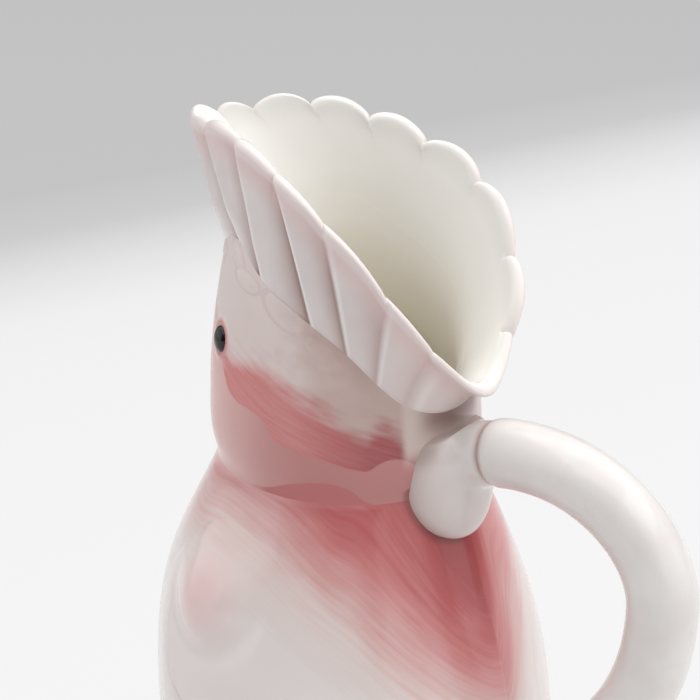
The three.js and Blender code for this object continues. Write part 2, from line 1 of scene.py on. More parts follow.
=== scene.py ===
import math
import bpy
import numpy as np
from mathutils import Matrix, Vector


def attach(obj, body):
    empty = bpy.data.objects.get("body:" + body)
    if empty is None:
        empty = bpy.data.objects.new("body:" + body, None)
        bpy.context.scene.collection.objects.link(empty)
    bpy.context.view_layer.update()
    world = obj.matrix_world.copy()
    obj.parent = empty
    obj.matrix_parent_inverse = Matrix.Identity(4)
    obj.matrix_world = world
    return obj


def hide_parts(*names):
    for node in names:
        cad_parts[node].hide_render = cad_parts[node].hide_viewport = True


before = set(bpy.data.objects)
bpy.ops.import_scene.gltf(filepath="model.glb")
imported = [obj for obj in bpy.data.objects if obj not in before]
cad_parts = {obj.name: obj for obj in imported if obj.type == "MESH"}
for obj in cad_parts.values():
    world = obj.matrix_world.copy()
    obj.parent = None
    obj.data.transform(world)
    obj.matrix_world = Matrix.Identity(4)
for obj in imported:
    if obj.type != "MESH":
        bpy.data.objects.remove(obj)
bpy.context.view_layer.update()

# Torso: the hollow belly of the jug, slip-cast earthenware with a flat floor and an open neck.
# It stands on a bare foot ring. Pink is brushed over its back like a shawl, and a clear gloss
# glaze is poured over the whole of it. Sizes are millimetres; angles run from the breast, left positive.
MM = 0.001
NECK = 175.0
NECK_HALF = 37.4
BODY_TOP = 262
BODY_DEEPER = 2.2
WALL = 4.5
FLOOR = 6.0
FLOOR_ROUND = 4
FOOT_RING = 7.5
FOOT_EDGE = 3
FOOT_ROUND = 2.5
FOOT_HOLLOW = 1.0
# The slip wiped over the crease at the neck: steps of height, the width of the wipe in steps, its
# reach in steps, and how far from the neck it shows
LEVEL_STEP = 0.25
WIPE = 9
WIPE_REACH = 40
WIPE_BAND = 14
SHARP_ANGLE = 50


def through(points, flat_ends=False):
    """A smooth curve through (place, value) points, held level outside them."""
    x, y = np.array(points, float).T
    step = np.diff(x)
    rise = np.diff(y) / step
    slope = np.zeros(len(x))
    slope[1:-1] = (rise[:-1] * step[1:] + rise[1:] * step[:-1]) / (step[1:] + step[:-1])
    if not flat_ends:
        slope[0], slope[-1] = rise[0], rise[-1]

    def curve(at):
        at = np.clip(at, x[0], x[-1])
        i = np.clip(np.searchsorted(x, at) - 1, 0, len(step) - 1)
        h = step[i]
        u = (at - x[i]) / h
        v = 1 - u
        ends = (1 + 2 * u) * v * v * y[i] + u * u * (3 - 2 * u) * y[i + 1]
        return ends + u * v * v * h * slope[i] - u * u * v * h * slope[i + 1]

    return curve


def ease(low, high, value):
    """0 at low, 1 at high and a smooth rise between them."""
    t = np.clip((value - low) / (high - low), 0, 1)
    return t * t * (3 - 2 * t)


def woven(name, rows, start=None, end=None, loop=False, fields=None, stroke=None):
    """A closed mesh from rows of points; start and end are poles, and loop joins the last row to
    the first. Fields are values for each point, stroke a UV with one column more than the rows."""
    rows = np.asarray(rows, float)
    count, sides = rows.shape[:2]
    grid = np.arange(count * sides).reshape(count, sides)
    points = [rows.reshape(-1, 3)]
    i, j = np.arange(sides), (np.arange(sides) + 1) % sides
    faces, corners = [], []
    for r in range(count if loop else count - 1):
        s = (r + 1) % count
        faces.append(np.stack([grid[r, i], grid[r, j], grid[s, j], grid[s, i]], 1))
        here, there = r + 0 * i, s + 0 * i
        corners.append(np.stack([[here, i], [here, i + 1], [there, i + 1], [there, i]]).transpose(2, 0, 1))
    for pole, r in ((start, 0), (end, count - 1)):
        if pole is not None:
            tip = np.full(sides, sum(len(p) for p in points))
            points.append(np.array([pole], float))
            (p, q), (a, b) = ((i, j), (i, i + 1)) if r else ((j, i), (i + 1, i))
            faces.append(np.stack([grid[r, p], grid[r, q], tip], 1))
            here = r + 0 * i
            corners.append(np.stack([[here, a], [here, b], [here, a]]).transpose(2, 0, 1))
    points = np.vstack(points)
    fan = np.vstack([f[:, [0, k, k + 1]] for f in faces for k in range(1, f.shape[1] - 1)])
    a, b, c = (points[fan[:, k]] for k in range(3))
    turn = 1 if np.einsum("ij,ij->i", a, np.cross(b, c)).sum() > 0 else -1
    mesh = bpy.data.meshes.new(name)
    mesh.from_pydata(points * MM, [], [face for f in faces for face in f[:, ::turn].tolist()])
    for field, values in (fields or {}).items():
        values = np.asarray(values, float)[..., :sides] + np.zeros((count, sides))
        poles = [values[r].mean() for pole, r in ((start, 0), (end, -1)) if pole is not None]
        layer = mesh.attributes.new(field, "FLOAT", "POINT")
        layer.data.foreach_set("value", np.r_[values.ravel(), poles].astype(np.float32))
    if stroke is not None:
        at = np.vstack([c[:, ::turn].reshape(-1, 2) for c in corners])
        layer = mesh.uv_layers.new(name="stroke")
        layer.data.foreach_set("uv", stroke[at[:, 0], at[:, 1]].astype(np.float32).ravel())
    mesh.shade_smooth()
    mesh.set_sharp_from_angle(angle=math.radians(SHARP_ANGLE))
    return bpy.data.objects.new(name, mesh)


def hexed(code):
    """An sRGB hex colour as linear light."""
    part = [int(code[k : k + 2], 16) / 255 for k in (1, 3, 5)]
    return [c / 12.92 if c <= 0.04045 else ((c + 0.055) / 1.055) ** 2.4 for c in part] + [1.0]


def add(tree, kind, links=None, **settings):
    """A node with its settings; each input takes another node's output or a value, and in a
    material also the name of one of the piece's attributes."""
    made = tree.nodes.new(kind)
    for key, value in settings.items():
        setattr(made, key, value)
    for socket, value in (links or {}).items():
        if isinstance(value, str) and tree.type == "SHADER":
            value = add(tree, "ShaderNodeAttribute", attribute_name=value).outputs["Fac"]
        if isinstance(value, bpy.types.NodeSocket):
            tree.links.new(value, made.inputs[socket])
        else:
            made.inputs[socket].default_value = value
    return made


def dyed(ramp, stops):
    """Sets a ramp's colours from (place, hex) pairs and gives its output."""
    points = ramp.color_ramp.elements
    while len(points) < len(stops):
        points.new(1.0)
    for point, (place, code) in zip(points, stops):
        point.position, point.color = place, hexed(code)
    return ramp.outputs["Color"]


# Sockets of a Mix node that mixes colours
FACTOR, FIRST, SECOND, MIXED = 0, 6, 7, 2


def painted(tree, coat, layers):
    """Colours, as outputs or hex codes, laid over a coat one after another by their masks."""
    for mask, colour in layers:
        laid = {FACTOR: mask, FIRST: coat, SECOND: hexed(colour) if isinstance(colour, str) else colour}
        coat = add(tree, "ShaderNodeMix", laid, data_type="RGBA").outputs[MIXED]
    return coat


def patches(tree, across, detail=3.0, roughness=0.5):
    """Soft patches of thick and thin glaze all over a piece, so many millimetres across."""
    place = add(tree, "ShaderNodeTexCoord").outputs["Object"]
    grain = {"Vector": place, "Scale": 1 / (across * MM), "Detail": detail, "Roughness": roughness}
    return add(tree, "ShaderNodeTexNoise", grain).outputs["Fac"]


def poured_glaze(name, roughness):
    """Clear glaze over clay: a sharp gloss with the faint ripple, 9 mm across, of a poured coat."""
    material = bpy.data.materials.new(name)
    material.use_nodes = True
    tree = material.node_tree
    shader = tree.nodes["Principled BSDF"]
    shader.inputs["Roughness"].default_value = roughness
    shader.inputs["IOR"].default_value = 1.5
    swell = {"Height": patches(tree, 9, detail=1.0), "Strength": 0.1, "Distance": 0.4 * MM}
    tree.links.new(add(tree, "ShaderNodeBump", swell).outputs["Normal"], shader.inputs["Normal"])
    return material, tree, shader


def luted(piece, node, material):
    """Puts a finished piece in the scene in place of its CAD node."""
    bpy.context.scene.collection.objects.link(piece)
    piece.data.materials.clear()
    piece.data.materials.append(material)
    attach(piece, "root")
    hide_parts(node)


torso_profile = through([(0, 42), (45, 57), (85, 60.5), (135, 54.2), (NECK, NECK_HALF)])
head_profile = through([(NECK, NECK_HALF), (181, 39.2), (198, 39.6), (230, 35.2), (BODY_TOP, 26)])
body_shift = through([(0, 0), (85, 0.3), (135, -3), (NECK, -2.3), (230, -4), (BODY_TOP, -6.8)])
levels = np.arange(0, BODY_TOP + 0.01, LEVEL_STEP)
creased = np.where(levels > NECK, head_profile(levels), torso_profile(levels))
smear = np.exp(-0.5 * (np.arange(-WIPE_REACH, WIPE_REACH + 1) / WIPE) ** 2)
wiped = np.convolve(np.pad(creased, WIPE_REACH, "edge"), smear / smear.sum(), "valid")
slipped = creased + np.exp(-(((levels - NECK) / WIPE_BAND) ** 2)) * (wiped - creased)


def half_width(z):
    """Half the body's width at a height, the crease at the neck wiped round with slip."""
    return np.interp(z, levels, slipped)


def skin(angle, z, inset=0.0):
    """A point of the body's outside; inset goes into the wall."""
    angle, z = np.broadcast_arrays(angle, z)
    width = half_width(z) - inset
    return np.stack([width * np.sin(angle), body_shift(z) - (width + BODY_DEEPER) * np.cos(angle), z], -1)


def unit(vectors):
    """Vectors of the same ways, each 1 long."""
    return vectors / np.linalg.norm(vectors, axis=-1, keepdims=True)


def skin_normal(angle, z):
    """The way the body's outside faces."""
    across = skin(angle + 0.01, z) - skin(angle - 0.01, z)
    return unit(np.cross(across, skin(angle, z + 0.6) - skin(angle, z - 0.6)))


# Lower edge of the pink shawl, degrees from the breast and height, on the left and on the right,
# and how thickly the pink is laid on
shawl_left = through(
    [(0, 168), (35, 164), (52, 163), (70, 165.5), (86, 164), (100, 160.5), (109, 156), (120, 150)]
    + [(130, 144), (140, 134.5), (149, 126), (165, 112), (180, 105)],
    True,
)
shawl_right = through(
    [(0, 168), (35, 165), (60, 166), (90, 163), (115, 157), (135, 149), (155, 138), (167, 126), (180, 105)],
    True,
)
paint_load = through([(0, 0.75), (75, 0.85), (100, 1.05), (122, 1.12), (150, 1.05), (180, 1)])
# An edge's slope is measured over this many degrees each way
SLOPE_OVER = 8


def signed(angle):
    """The angle in degrees between the breast, 0, and the back, 180 on the left."""
    return np.degrees(np.arctan2(np.sin(angle), np.cos(angle)))


def from_breast(angle):
    """Degrees from the breast, alike on both sides."""
    return np.abs(signed(angle))


def inside_edge(angle, z, left, right):
    """How far above a painted edge a place is, measured square to that edge."""
    turn = signed(angle)
    before, edge, ahead = (
        np.where(turn >= 0, left(turn + near), right(-turn + near)) for near in (-SLOPE_OVER, 0, SLOPE_OVER)
    )
    return (z - edge) / np.hypot(1, (ahead - before) / (np.radians(2 * SLOPE_OVER) * half_width(z)))


def shawl_depth(angle, z):
    """Depth of the pink: the distance from the shawl's edge, laid on thicker toward the back."""
    return inside_edge(angle, z, shawl_left, shawl_right) * paint_load(from_breast(angle))


def brush_way(angle, z, across):
    """The way the brush went: along the body one way, across the stroke the other."""
    return np.stack(np.broadcast_arrays(angle * half_width(z), across), -1)


# Height, half width and half height of the handle's upper root on the nape, and how far its lower
# end leans to the left and narrows, as shares of the half width
UPPER_ROOT = (177.5, 18, 16.5)
UPPER_LEAN = -0.2
ROOT_TAPER = 0.18
ROOT_HIDDEN = 9


def root_reach(angle, z):
    """Distance from the middle of the handle's upper root, 1 on its edge, growing fast above it."""
    middle, half_wide, half_high = UPPER_ROOT
    low = np.clip((middle - z) / half_high, 0, 1)
    from_back = np.radians(np.mod(signed(angle), 360) - 180)
    across = from_back * (half_width(middle) + BODY_DEEPER) / half_wide
    across = (across - UPPER_LEAN * low) / (1 - ROOT_TAPER * low)
    return np.hypot(across, (z - middle) / half_high) + ease(middle, middle + ROOT_HIDDEN, z)


around = -math.pi + 2 * math.pi * np.arange(321) / 320
rounding = [(math.sin(q), math.cos(q)) for q in np.radians([15, 30, 45, 60, 75])]
# Rows of the torso from the middle of the foot up the outside and down the inside: height, inset,
# lining and bare clay
torso_rows = (
    [(FOOT_HOLLOW, FOOT_RING + 3, 0, 1), (0.9, FOOT_RING + 1.4, 0, 1), (0.4, FOOT_RING + 0.6, 0, 1)]
    + [(0, FOOT_RING, 0, 1), (0, FOOT_EDGE, 0, 1)]
    + [(FOOT_ROUND * (1 - c), FOOT_EDGE * (1 - s), 0, 0) for s, c in rounding]
    + [(z, 0, 0, 0) for z in np.linspace(FOOT_ROUND, NECK, 150)]
    + [(z, WALL, 1, 0) for z in np.linspace(NECK, FLOOR + FLOOR_ROUND, 44)]
    + [(FLOOR + FLOOR_ROUND * (1 - c), WALL + FLOOR_ROUND * (1 - s), 1, 0) for s, c in rounding[::-1]]
    + [(FLOOR, WALL + FLOOR_ROUND, 1, 0)]
)
z, inset, lining, bare = [np.array(column, float)[:, None] for column in zip(*torso_rows)]
torso = woven(
    "torso_shell",
    skin(around[:-1], z, inset),
    start=(0, 0, FOOT_HOLLOW),
    end=(0, 0, FLOOR),
    fields={
        "shawl_mm": shawl_depth(around, z),
        "lining": lining,
        "deep": lining,
        "bare": bare,
        "root_far": root_reach(around, z),
    },
    stroke=brush_way(around, z, inside_edge(around, z, shawl_left, shawl_right)),
)
SHAWL_DYE = [
    (0.05, "#E8E0DD"), (0.25, "#E4D6D2"), (0.36, "#E1C9C5"), (0.44, "#DCB6B3"),
    (0.54, "#D69F9D"), (0.65, "#CE8584"), (0.82, "#BE6566"), (1, "#AC5254"),
]
# The lining is white glaze; its darker beige stops with depth are painted shade inside the mouth
LINING_DEPTH_SHADE_DYE = [(0, "#F5F3EE"), (0.1, "#FEFCF8"), (0.35, "#FEFCF8"), (0.65, "#FAF6EE"), (1, "#E4DCCA")]


def brush_marks(tree, long, apart, detail, roughness, slant=0.0):
    """Marks of a brush along the piece's strokes, their length and spacing in millimetres."""
    stroke = add(tree, "ShaderNodeUVMap", uv_map="stroke").outputs["UV"]
    laid = {"Vector": stroke, "Rotation": (0, 0, slant), "Scale": (long, apart, 1)}
    laid = add(tree, "ShaderNodeMapping", laid, vector_type="TEXTURE").outputs[0]
    grain = {"Vector": laid, "Scale": 1.0, "Detail": detail, "Roughness": roughness}
    return add(tree, "ShaderNodeTexNoise", grain, noise_dimensions="2D").outputs["Fac"]


def carried(tree, edge, marks):
    """A painted edge carried further by each (pattern, reach) of the brush or the glaze."""
    for pattern, reach in marks:
        further = {0: pattern, 1: reach, 2: edge}
        edge = add(tree, "ShaderNodeMath", further, operation="MULTIPLY_ADD").outputs[0]
    return edge


def brushed_shawl(name):
    """White glazed earthenware with pink brushed under the glaze: thin streaks that follow the
    brush, deep where strokes overlap and fading to white at the shawl's edge."""
    material, tree, shader = poured_glaze(name, 0.15)
    # Bristle marks 1.4 mm apart and 40 mm long, and loads of paint 11 mm wide
    bristles = brush_marks(tree, 40, 1.4, 3.0, 0.6)
    loads = brush_marks(tree, 38, 11, 2.0, 0.5)
    reach = carried(tree, "shawl_mm", [(bristles, 10.0), (loads, 13.0)])
    depth = {"Value": reach, "From Min": -14.0, "From Max": 47.0}
    depth = add(tree, "ShaderNodeMapRange", depth).outputs["Result"]
    return material, tree, shader, dyed(add(tree, "ShaderNodeValToRGB", {"Fac": depth}), SHAWL_DYE)


def lined(tree, coat):
    """The lining's poured glaze over the outer coat: white by the lip, darkened to beige with depth by
    painted shade.
    """
    lining_and_depth_shade = dyed(add(tree, "ShaderNodeValToRGB", {"Fac": "deep"}), LINING_DEPTH_SHADE_DYE)
    return painted(tree, coat, [("lining", lining_and_depth_shade)])


def slip_line(tree, coat):
    """A dark hair line where the glaze pooled round the handle's upper root."""
    line = {"Value": "root_far", "From Min": 1.17, "From Max": 1.04, "To Max": 0.75}
    line = add(tree, "ShaderNodeMapRange", line, interpolation_type="SMOOTHSTEP").outputs["Result"]
    return painted(tree, coat, [(line, "#8E4A49")])


torso_glaze, tree, shader, pink = brushed_shawl("brushed_pink_under_glaze")
coat = painted(tree, lined(tree, slip_line(tree, pink)), [("bare", "#D9CCB8")])
tree.links.new(coat, shader.inputs["Base Color"])
luted(torso, "torso_shell", torso_glaze)

# Feet: three toes rolled from clay and pressed on each side of the breast, low on the belly.
# They are glazed warm grey, paler and darker in patches.
FOOT_AT = 26
FOOT_TOP = 19.2
TOES = 3
TOE_RADIUS = 3.6
TOE_SIDES = 24
TOE_SPREAD = 0.19
TOE_DROP, SIDE_TOE_SHORTER = 12.2, 1.2
TOE_LIFT, TOE_ARCH = 1.0, 0.7


def drawn_clay():
    """Geometry nodes that draw clay along paths: an oval section, turned to face as the path's points
    say and as thick there as they say."""
    tree = bpy.data.node_groups.new("drawn_clay", "GeometryNodeTree")
    takes = {"Paths": "Geometry", "Half width": "Float", "Flatness": "Float"}
    takes |= {"Sides": "Int", "Glaze": "Material"}
    for name, kind in takes.items():
        tree.interface.new_socket(name, in_out="INPUT", socket_type="NodeSocket" + kind)
    tree.interface.new_socket("Clay", in_out="OUTPUT", socket_type="NodeSocketGeometry")
    given = add(tree, "NodeGroupInput").outputs
    facing, thick = [
        add(tree, "GeometryNodeInputNamedAttribute", {"Name": name}, data_type=kind).outputs["Attribute"]
        for name, kind in (("facing", "FLOAT_VECTOR"), ("thick", "FLOAT"))
    ]
    path = add(tree, "GeometryNodeMeshToCurve", {"Mesh": given["Paths"]}).outputs["Curve"]
    turned = {"Curve": path, "Normal": facing}
    path = add(tree, "GeometryNodeSetCurveNormal", turned, mode="FREE").outputs["Curve"]
    circle = {"Resolution": given["Sides"], "Radius": given["Half width"]}
    circle = add(tree, "GeometryNodeCurvePrimitiveCircle", circle).outputs["Curve"]
    flat = add(tree, "ShaderNodeCombineXYZ", {"X": given["Flatness"], "Y": 1.0, "Z": 1.0}).outputs[0]
    oval = add(tree, "GeometryNodeTransform", {"Geometry": circle, "Scale": flat}).outputs["Geometry"]
    swept = {"Curve": path, "Profile Curve": oval, "Scale": thick, "Fill Caps": True}
    clay = add(tree, "GeometryNodeCurveToMesh", swept).outputs["Mesh"]
    for kind, settings in (
        ("GeometryNodeMergeByDistance", {"Distance": 0.01 * MM}),
        ("GeometryNodeSetShadeSmooth", {}),
        ("GeometryNodeRealizeInstances", {}),
        ("GeometryNodeSetMaterial", {"Material": given["Glaze"]}),
    ):
        clay = add(tree, kind, {"Geometry": clay, **settings}).outputs["Geometry"]
    add(tree, "NodeGroupOutput", {"Clay": clay})
    return tree


def drawn(name, paths, facing, thick, half_wide, flatness, sides, glaze, marks=None):
    """Clay drawn along paths of points as a plain mesh. Facing and thick hold a value for each point,
    and marks are further values that the clay keeps."""
    sizes = {"Half width": half_wide * MM, "Flatness": flatness, "Sides": sides, "Glaze": glaze}
    mesh = bpy.data.meshes.new(name + "_paths")
    count = len(paths[0])
    edges = [(p * count + k, p * count + k + 1) for p in range(len(paths)) for k in range(count - 1)]
    mesh.from_pydata(np.vstack(paths) * MM, edges, [])
    layer = mesh.attributes.new("facing", "FLOAT_VECTOR", "POINT")
    layer.data.foreach_set("vector", np.vstack(facing).astype(np.float32).ravel())
    for mark, values in {"thick": thick, **(marks or {})}.items():
        layer = mesh.attributes.new(mark, "FLOAT", "POINT")
        layer.data.foreach_set("value", np.hstack(values).astype(np.float32))
    base = bpy.data.objects.new(name + "_paths", mesh)
    bpy.context.scene.collection.objects.link(base)
    modifier = base.modifiers.new(name, "NODES")
    modifier.node_group = clay_tree
    for item in clay_tree.interface.items_tree:
        if item.in_out == "INPUT" and item.name in sizes:
            modifier[item.identifier] = sizes[item.name]
    shape = bpy.data.meshes.new_from_object(base.evaluated_get(bpy.context.evaluated_depsgraph_get()))
    base.modifiers.clear()
    bpy.data.objects.remove(base)
    shape.name = name
    return bpy.data.objects.new(name, shape)


def run_share(path):
    """The share of a path's length at each of its points."""
    run = np.r_[0, np.cumsum(np.linalg.norm(np.diff(path, axis=0), axis=1))]
    return run / run[-1]


def pooled_glaze(name, pale, deep, roughness, patch):
    """A tinted gloss glaze, paler and darker in patches, so many millimetres across, where it ran."""
    material, tree, shader = poured_glaze(name, roughness)
    pools = patches(tree, patch, roughness=0.55)
    colour = dyed(add(tree, "ShaderNodeValToRGB", {"Fac": pools}), [(0.32, deep), (0.68, pale)])
    tree.links.new(colour, shader.inputs["Base Color"])
    return material


clay_tree = drawn_clay()
foot_glaze = pooled_glaze("grey_pooled_foot_glaze", "#BDB5AF", "#8F8782", 0.2, 5)
for side, name in ((1, "left_foot"), (-1, "right_foot")):
    toes, facing, thick = [], [], []
    t = np.linspace(0, 1, 26)
    for k in range(TOES):
        off = k - (TOES - 1) / 2
        turn = side * math.radians(FOOT_AT) + off * TOE_SPREAD * t**0.8
        z = FOOT_TOP - (TOE_DROP - SIDE_TOE_SHORTER * abs(off)) * t
        outward = skin_normal(turn, z)
        toes.append(skin(turn, z) + outward * (TOE_LIFT + TOE_ARCH * np.sin(math.pi * t))[:, None])
        way = unit(np.gradient(toes[-1], axis=0))
        facing.append(unit(outward - way * (outward * way).sum(-1, keepdims=True)))
        # Round at both ends, and thinner where it leaves the leg
        share = run_share(toes[-1])
        thick.append(np.sqrt(1 - np.abs(2 * share - 1) ** 3.5) * (0.65 + 0.35 * share))
    foot = drawn(name, toes, facing, thick, TOE_RADIUS, 1.0, TOE_SIDES, foot_glaze)
    luted(foot, name, foot_glaze)

# Tail: a fan of five long feathers modelled in clay and luted low on the back, under the handle.
# White glaze with a little pink in its thin patches; the middle feather lies on top of the others.
FEATHERS = 5
FEATHER_HALF_WIDTH = 5.4
FEATHER_FLATNESS = 0.42
FEATHER_SIDES = 40
TAIL_TOP = 60
TAIL_DROP, SIDE_FEATHER_SHORTER = 51.5, 3
TAIL_ROOT_APART, TAIL_FAN = 2.2, 5.6
TAIL_LIFT, SIDE_FEATHER_LOWER, TAIL_ROOT_SUNK = 1.5, 0.35, 0.5
quills, facing, thick = [], [], []
t = np.linspace(0, 1, 48)
for k in range(FEATHERS):
    off = k - (FEATHERS - 1) / 2
    z = TAIL_TOP - (TAIL_DROP - SIDE_FEATHER_SHORTER * abs(off)) * t
    turn = math.pi + off * (TAIL_ROOT_APART + TAIL_FAN * t**0.9) / half_width(z)
    lift = TAIL_LIFT - SIDE_FEATHER_LOWER * abs(off) - TAIL_ROOT_SUNK * (1 - t)
    facing.append(skin_normal(turn, z))
    quills.append(skin(turn, z) + facing[-1] * lift[:, None])
    # Widening from the root, and round at the tip
    share = run_share(quills[-1])
    thick.append(np.sqrt(1 - share**7) * share**0.4)
tail_glaze = pooled_glaze("white_pooled_tail_glaze", "#E8DFDC", "#DCC7C4", 0.16, 14)
feather = (FEATHER_HALF_WIDTH, FEATHER_FLATNESS, FEATHER_SIDES)
luted(drawn("tail", quills, facing, thick, *feather, tail_glaze), "tail", tail_glaze)

# Wings: relief wings modelled on the mould and cast with a boss at the shoulder, luted to the belly.
# White glaze with a pink blush on the boss; the shawl's last brush strokes run over the top edge.
# The edge goes round in degrees from the breast and shares of the wing's height.
WING_EDGE = [
    (75, 1), (52, 0.9), (44, 0.73), (50, 0.52), (64, 0.33), (92, 0.13),
    (122, 0), (147, 0.05), (158, 0.3), (162, 0.6), (146, 0.8), (112, 0.95),
]
WING_CENTRE = (102, 0.5)
WING_LOW, WING_HIGH = 30.5, 165
WING_RISE = 1.8
BED_SUNK = 0.8
BOSS_AT = (77.5, 142.5)
BOSS_HALF = 12
BOSS_RISE = 3.4
MOAT_FAR, MOAT_HALF, MOAT_DEEP = 18, 4, 1.3
FOLD = [(58, 127), (61, 122.5), (65, 118), (67, 111.5), (74, 106), (86, 98), (100, 88)]
FOLD_RISE, FOLD_DIP = 1.1, 0.9
VANE_APART = 9.5
VANE_RISE = 1.2


def looped(points):
    """A closed smooth line through points, for turn from 0 to 1."""
    knots = np.array(points, float)

    def line(turn):
        at = np.mod(turn, 1) * len(knots)
        i = at.astype(int) % len(knots)
        u = (at - np.floor(at))[:, None]
        a, b, c, d = (knots[(i + k) % len(knots)] for k in (-1, 0, 1, 2))
        return b + 0.5 * u * (c - a + u * (2 * a - 5 * b + 4 * c - d + u * (3 * (b - c) + d - a)))

    return line


def pad(name, centre, edge, relief, shares, fields=None):
    """An applied piece of clay: its bed is sunk in the skin, its face stands relief above it."""
    share = np.r_[0.5, 1, shares[::-1]][:, None]
    angle = centre[0] + (edge[:, 0] - centre[0]) * share
    z = centre[1] + (edge[:, 1] - centre[1]) * share
    rise = relief(share, angle, z)
    rise[:2] = -BED_SUNK
    rows = skin(angle, z) + skin_normal(angle, z) * rise[..., None]
    middle = np.array([[centre[0]]]), np.array([[centre[1]]])
    tops = [-BED_SUNK, relief(np.array([[0.0]]), *middle)[0, 0]]
    poles = [(skin(*middle) + skin_normal(*middle) * top)[0, 0] for top in tops]
    made = {key: value(angle, z) for key, value in (fields or {}).items()}
    stroke = brush_way(angle, z, inside_edge(angle, z, shawl_left, shawl_right))
    stroke = np.concatenate([stroke, stroke[:, :1]], 1)
    return woven(name, rows, *poles, fields=made, stroke=stroke)


def fold_line(turn, z):
    """How far a place lies from the fold under the shoulder, positive behind it."""
    angles, heights = np.array(FOLD, float).T
    return (turn - np.interp(-z, -heights, angles)) * np.radians(1) * half_width(z)


def wing_relief(share, angle, z):
    """Height of the wing: a plate that is soft at the back, the boss with a moat under it, the fold
    below the shoulder and a row of long feathers. Share is 1 on the wing's edge."""
    turn = from_breast(angle)
    back, up = (turn - BOSS_AT[0]) * np.radians(1) * half_width(z), z - BOSS_AT[1]
    far = np.hypot(back, up)
    inside = 1 - share**6
    soft = ease(60, 110, turn) * ease(90, 150, z)
    plate = soft * (1 - share**2) ** 1.3 + (1 - soft) * np.clip(inside, 0, 1) ** 0.8
    rise = WING_RISE * (0.35 + 0.65 * ease(47, 64, turn)) * plate
    rise = rise + BOSS_RISE * np.exp(-((far / BOSS_HALF) ** 3)) * inside
    moat = np.exp(-(((far - MOAT_FAR) / MOAT_HALF) ** 2)) * ease(6, -10, up)
    rise = rise - MOAT_DEEP * moat * inside
    fold = fold_line(turn, z)
    there = ease(130, 122, z) * ease(86, 96, z) * inside
    behind = ease(-1.3, 1.3, fold)
    rise = rise + there * FOLD_RISE * np.exp(-np.clip(fold, 0, None) / 5) * behind
    rise = rise - there * FOLD_DIP * np.exp(-((np.clip(-fold, 0, None) / 3) ** 2)) * (1 - behind)
    vane = np.mod(np.degrees(np.arctan2(-up, back)) / VANE_APART, 1)
    row = ease(98, 84, z) * (1 - share**8)
    rise = rise + row * VANE_RISE * (np.sin(math.pi * vane**0.6) ** 0.7 - 0.6)
    return np.maximum(rise, 0.25) - 0.6 * share**24


def boss_blush(angle, z):
    """Pink on the boss, fading past its edge."""
    far = np.hypot((from_breast(angle) - BOSS_AT[0]) * 0.95, z - BOSS_AT[1])
    return 0.85 * np.exp(-((far / BOSS_HALF) ** 2))


wing_glaze, tree, shader, pink = brushed_shawl("white_glaze_with_pink_blush")
tree.links.new(painted(tree, pink, [("blush", "#E8C6C4")]), shader.inputs["Base Color"])
turn = np.arange(280) / 280
wing_shares = 1 - (1 - np.linspace(0.02, 1, 84)) ** 1.4
for side, name in ((1, "left_wing"), (-1, "right_wing")):
    edge = looped(WING_EDGE)(turn) * [np.radians(1) * side, WING_HIGH - WING_LOW] + [0, WING_LOW]
    middle = (side * math.radians(WING_CENTRE[0]), WING_LOW + WING_CENTRE[1] * (WING_HIGH - WING_LOW))
    fields = {"shawl_mm": shawl_depth, "blush": boss_blush}
    luted(pad(name, middle, edge, wing_relief, wing_shares, fields), name, wing_glaze)

# Head: the hollow head casting, luted to the neck below and carrying the crest above.
# A band of deep pink is brushed across each cheek from the eye to the nape, with a crisp lower
# edge; paler pink runs below it, and short brow feathers are raised under the crest.
CREST_FOOT = [(0, 58), (30, 65), (61, 72), (91, 62.5), (125, 49), (153, 30.5), (180, 25.5)]
CREST_FEATHER = [37.9, 31.1, 28.9, 33.6, 28.4, 20.4, 6.8]
CREST_HOLLOW = 4
THROAT_IN, THROAT_BACK_IN = 2.5, 6
THROAT_DROP, THROAT_OVER_NECK = 30, 6
LIP_HALF_LENGTH = 55.4
LIP_HALF_WIDTH = 34.8
LIP_SHIFT = -5.4
LIP_POINT = 0.44
LIP_SWELL, LIP_SWELL_AT, LIP_SWELL_HALF = 3.8, -132, 30
EYE_AT = (59, 216.7)
EYE_HALF = (3.4, 3.9)
EYE_RIM_RISE, SOCKET_SUNK = 0.5, 0.4
BROW_RISE = 0.4
# Brow feathers: degrees from the breast, height, slant in degrees, half length, half width
BROWS = [
    (40, 241, -8, 5.5, 2.8),
    (64, 243, -34, 5.5, 2.6),
    (75.5, 237.5, -13, 6, 2.7),
    (100, 232, -32, 8, 4.2),
    (118, 222.5, -36, 6.5, 3),
]
UP = np.array([0.0, 0.0, 1.0])
crest_foot = through([(a, NECK + foot) for a, foot in CREST_FOOT], True)
crest_top = through([(a, NECK + foot + rise) for (a, foot), rise in zip(CREST_FOOT, CREST_FEATHER)], True)
# Painted edges, degrees from the breast and height: both edges of the cheek's band, and the top of
# the shawl's collar
cheek_low = through(
    [(0, 222), (50, 222), (58, 216), (65, 207.5), (68.5, 204), (75, 201.5), (84.5, 200.5), (91, 198.5)]
    + [(95, 194.5), (104, 192), (118.5, 190), (130, 187.5), (136, 187), (140.5, 189), (150, 189.5)]
    + [(156, 187), (180, 186)]
)
cheek_high = through(
    [(0, 208), (50, 209), (58, 212), (66, 213.5), (72, 214), (85, 215), (98.5, 212.5), (108.5, 206.5)]
    + [(117, 203.5), (125, 200), (135.5, 197.5), (140.5, 200), (147, 198.5), (152.5, 195), (180, 192)]
)
collar = through(
    [(0, 172), (60, 174), (80, 175.5), (91, 177), (103, 180.5), (118.5, 182.5), (128.5, 180.5)]
    + [(134.5, 176.5), (142, 174.5), (152.5, 175), (180, 175)]
)


def foot_point(angle):
    """A point of the crest's foot on the head."""
    return skin(angle, crest_foot(from_breast(angle)))


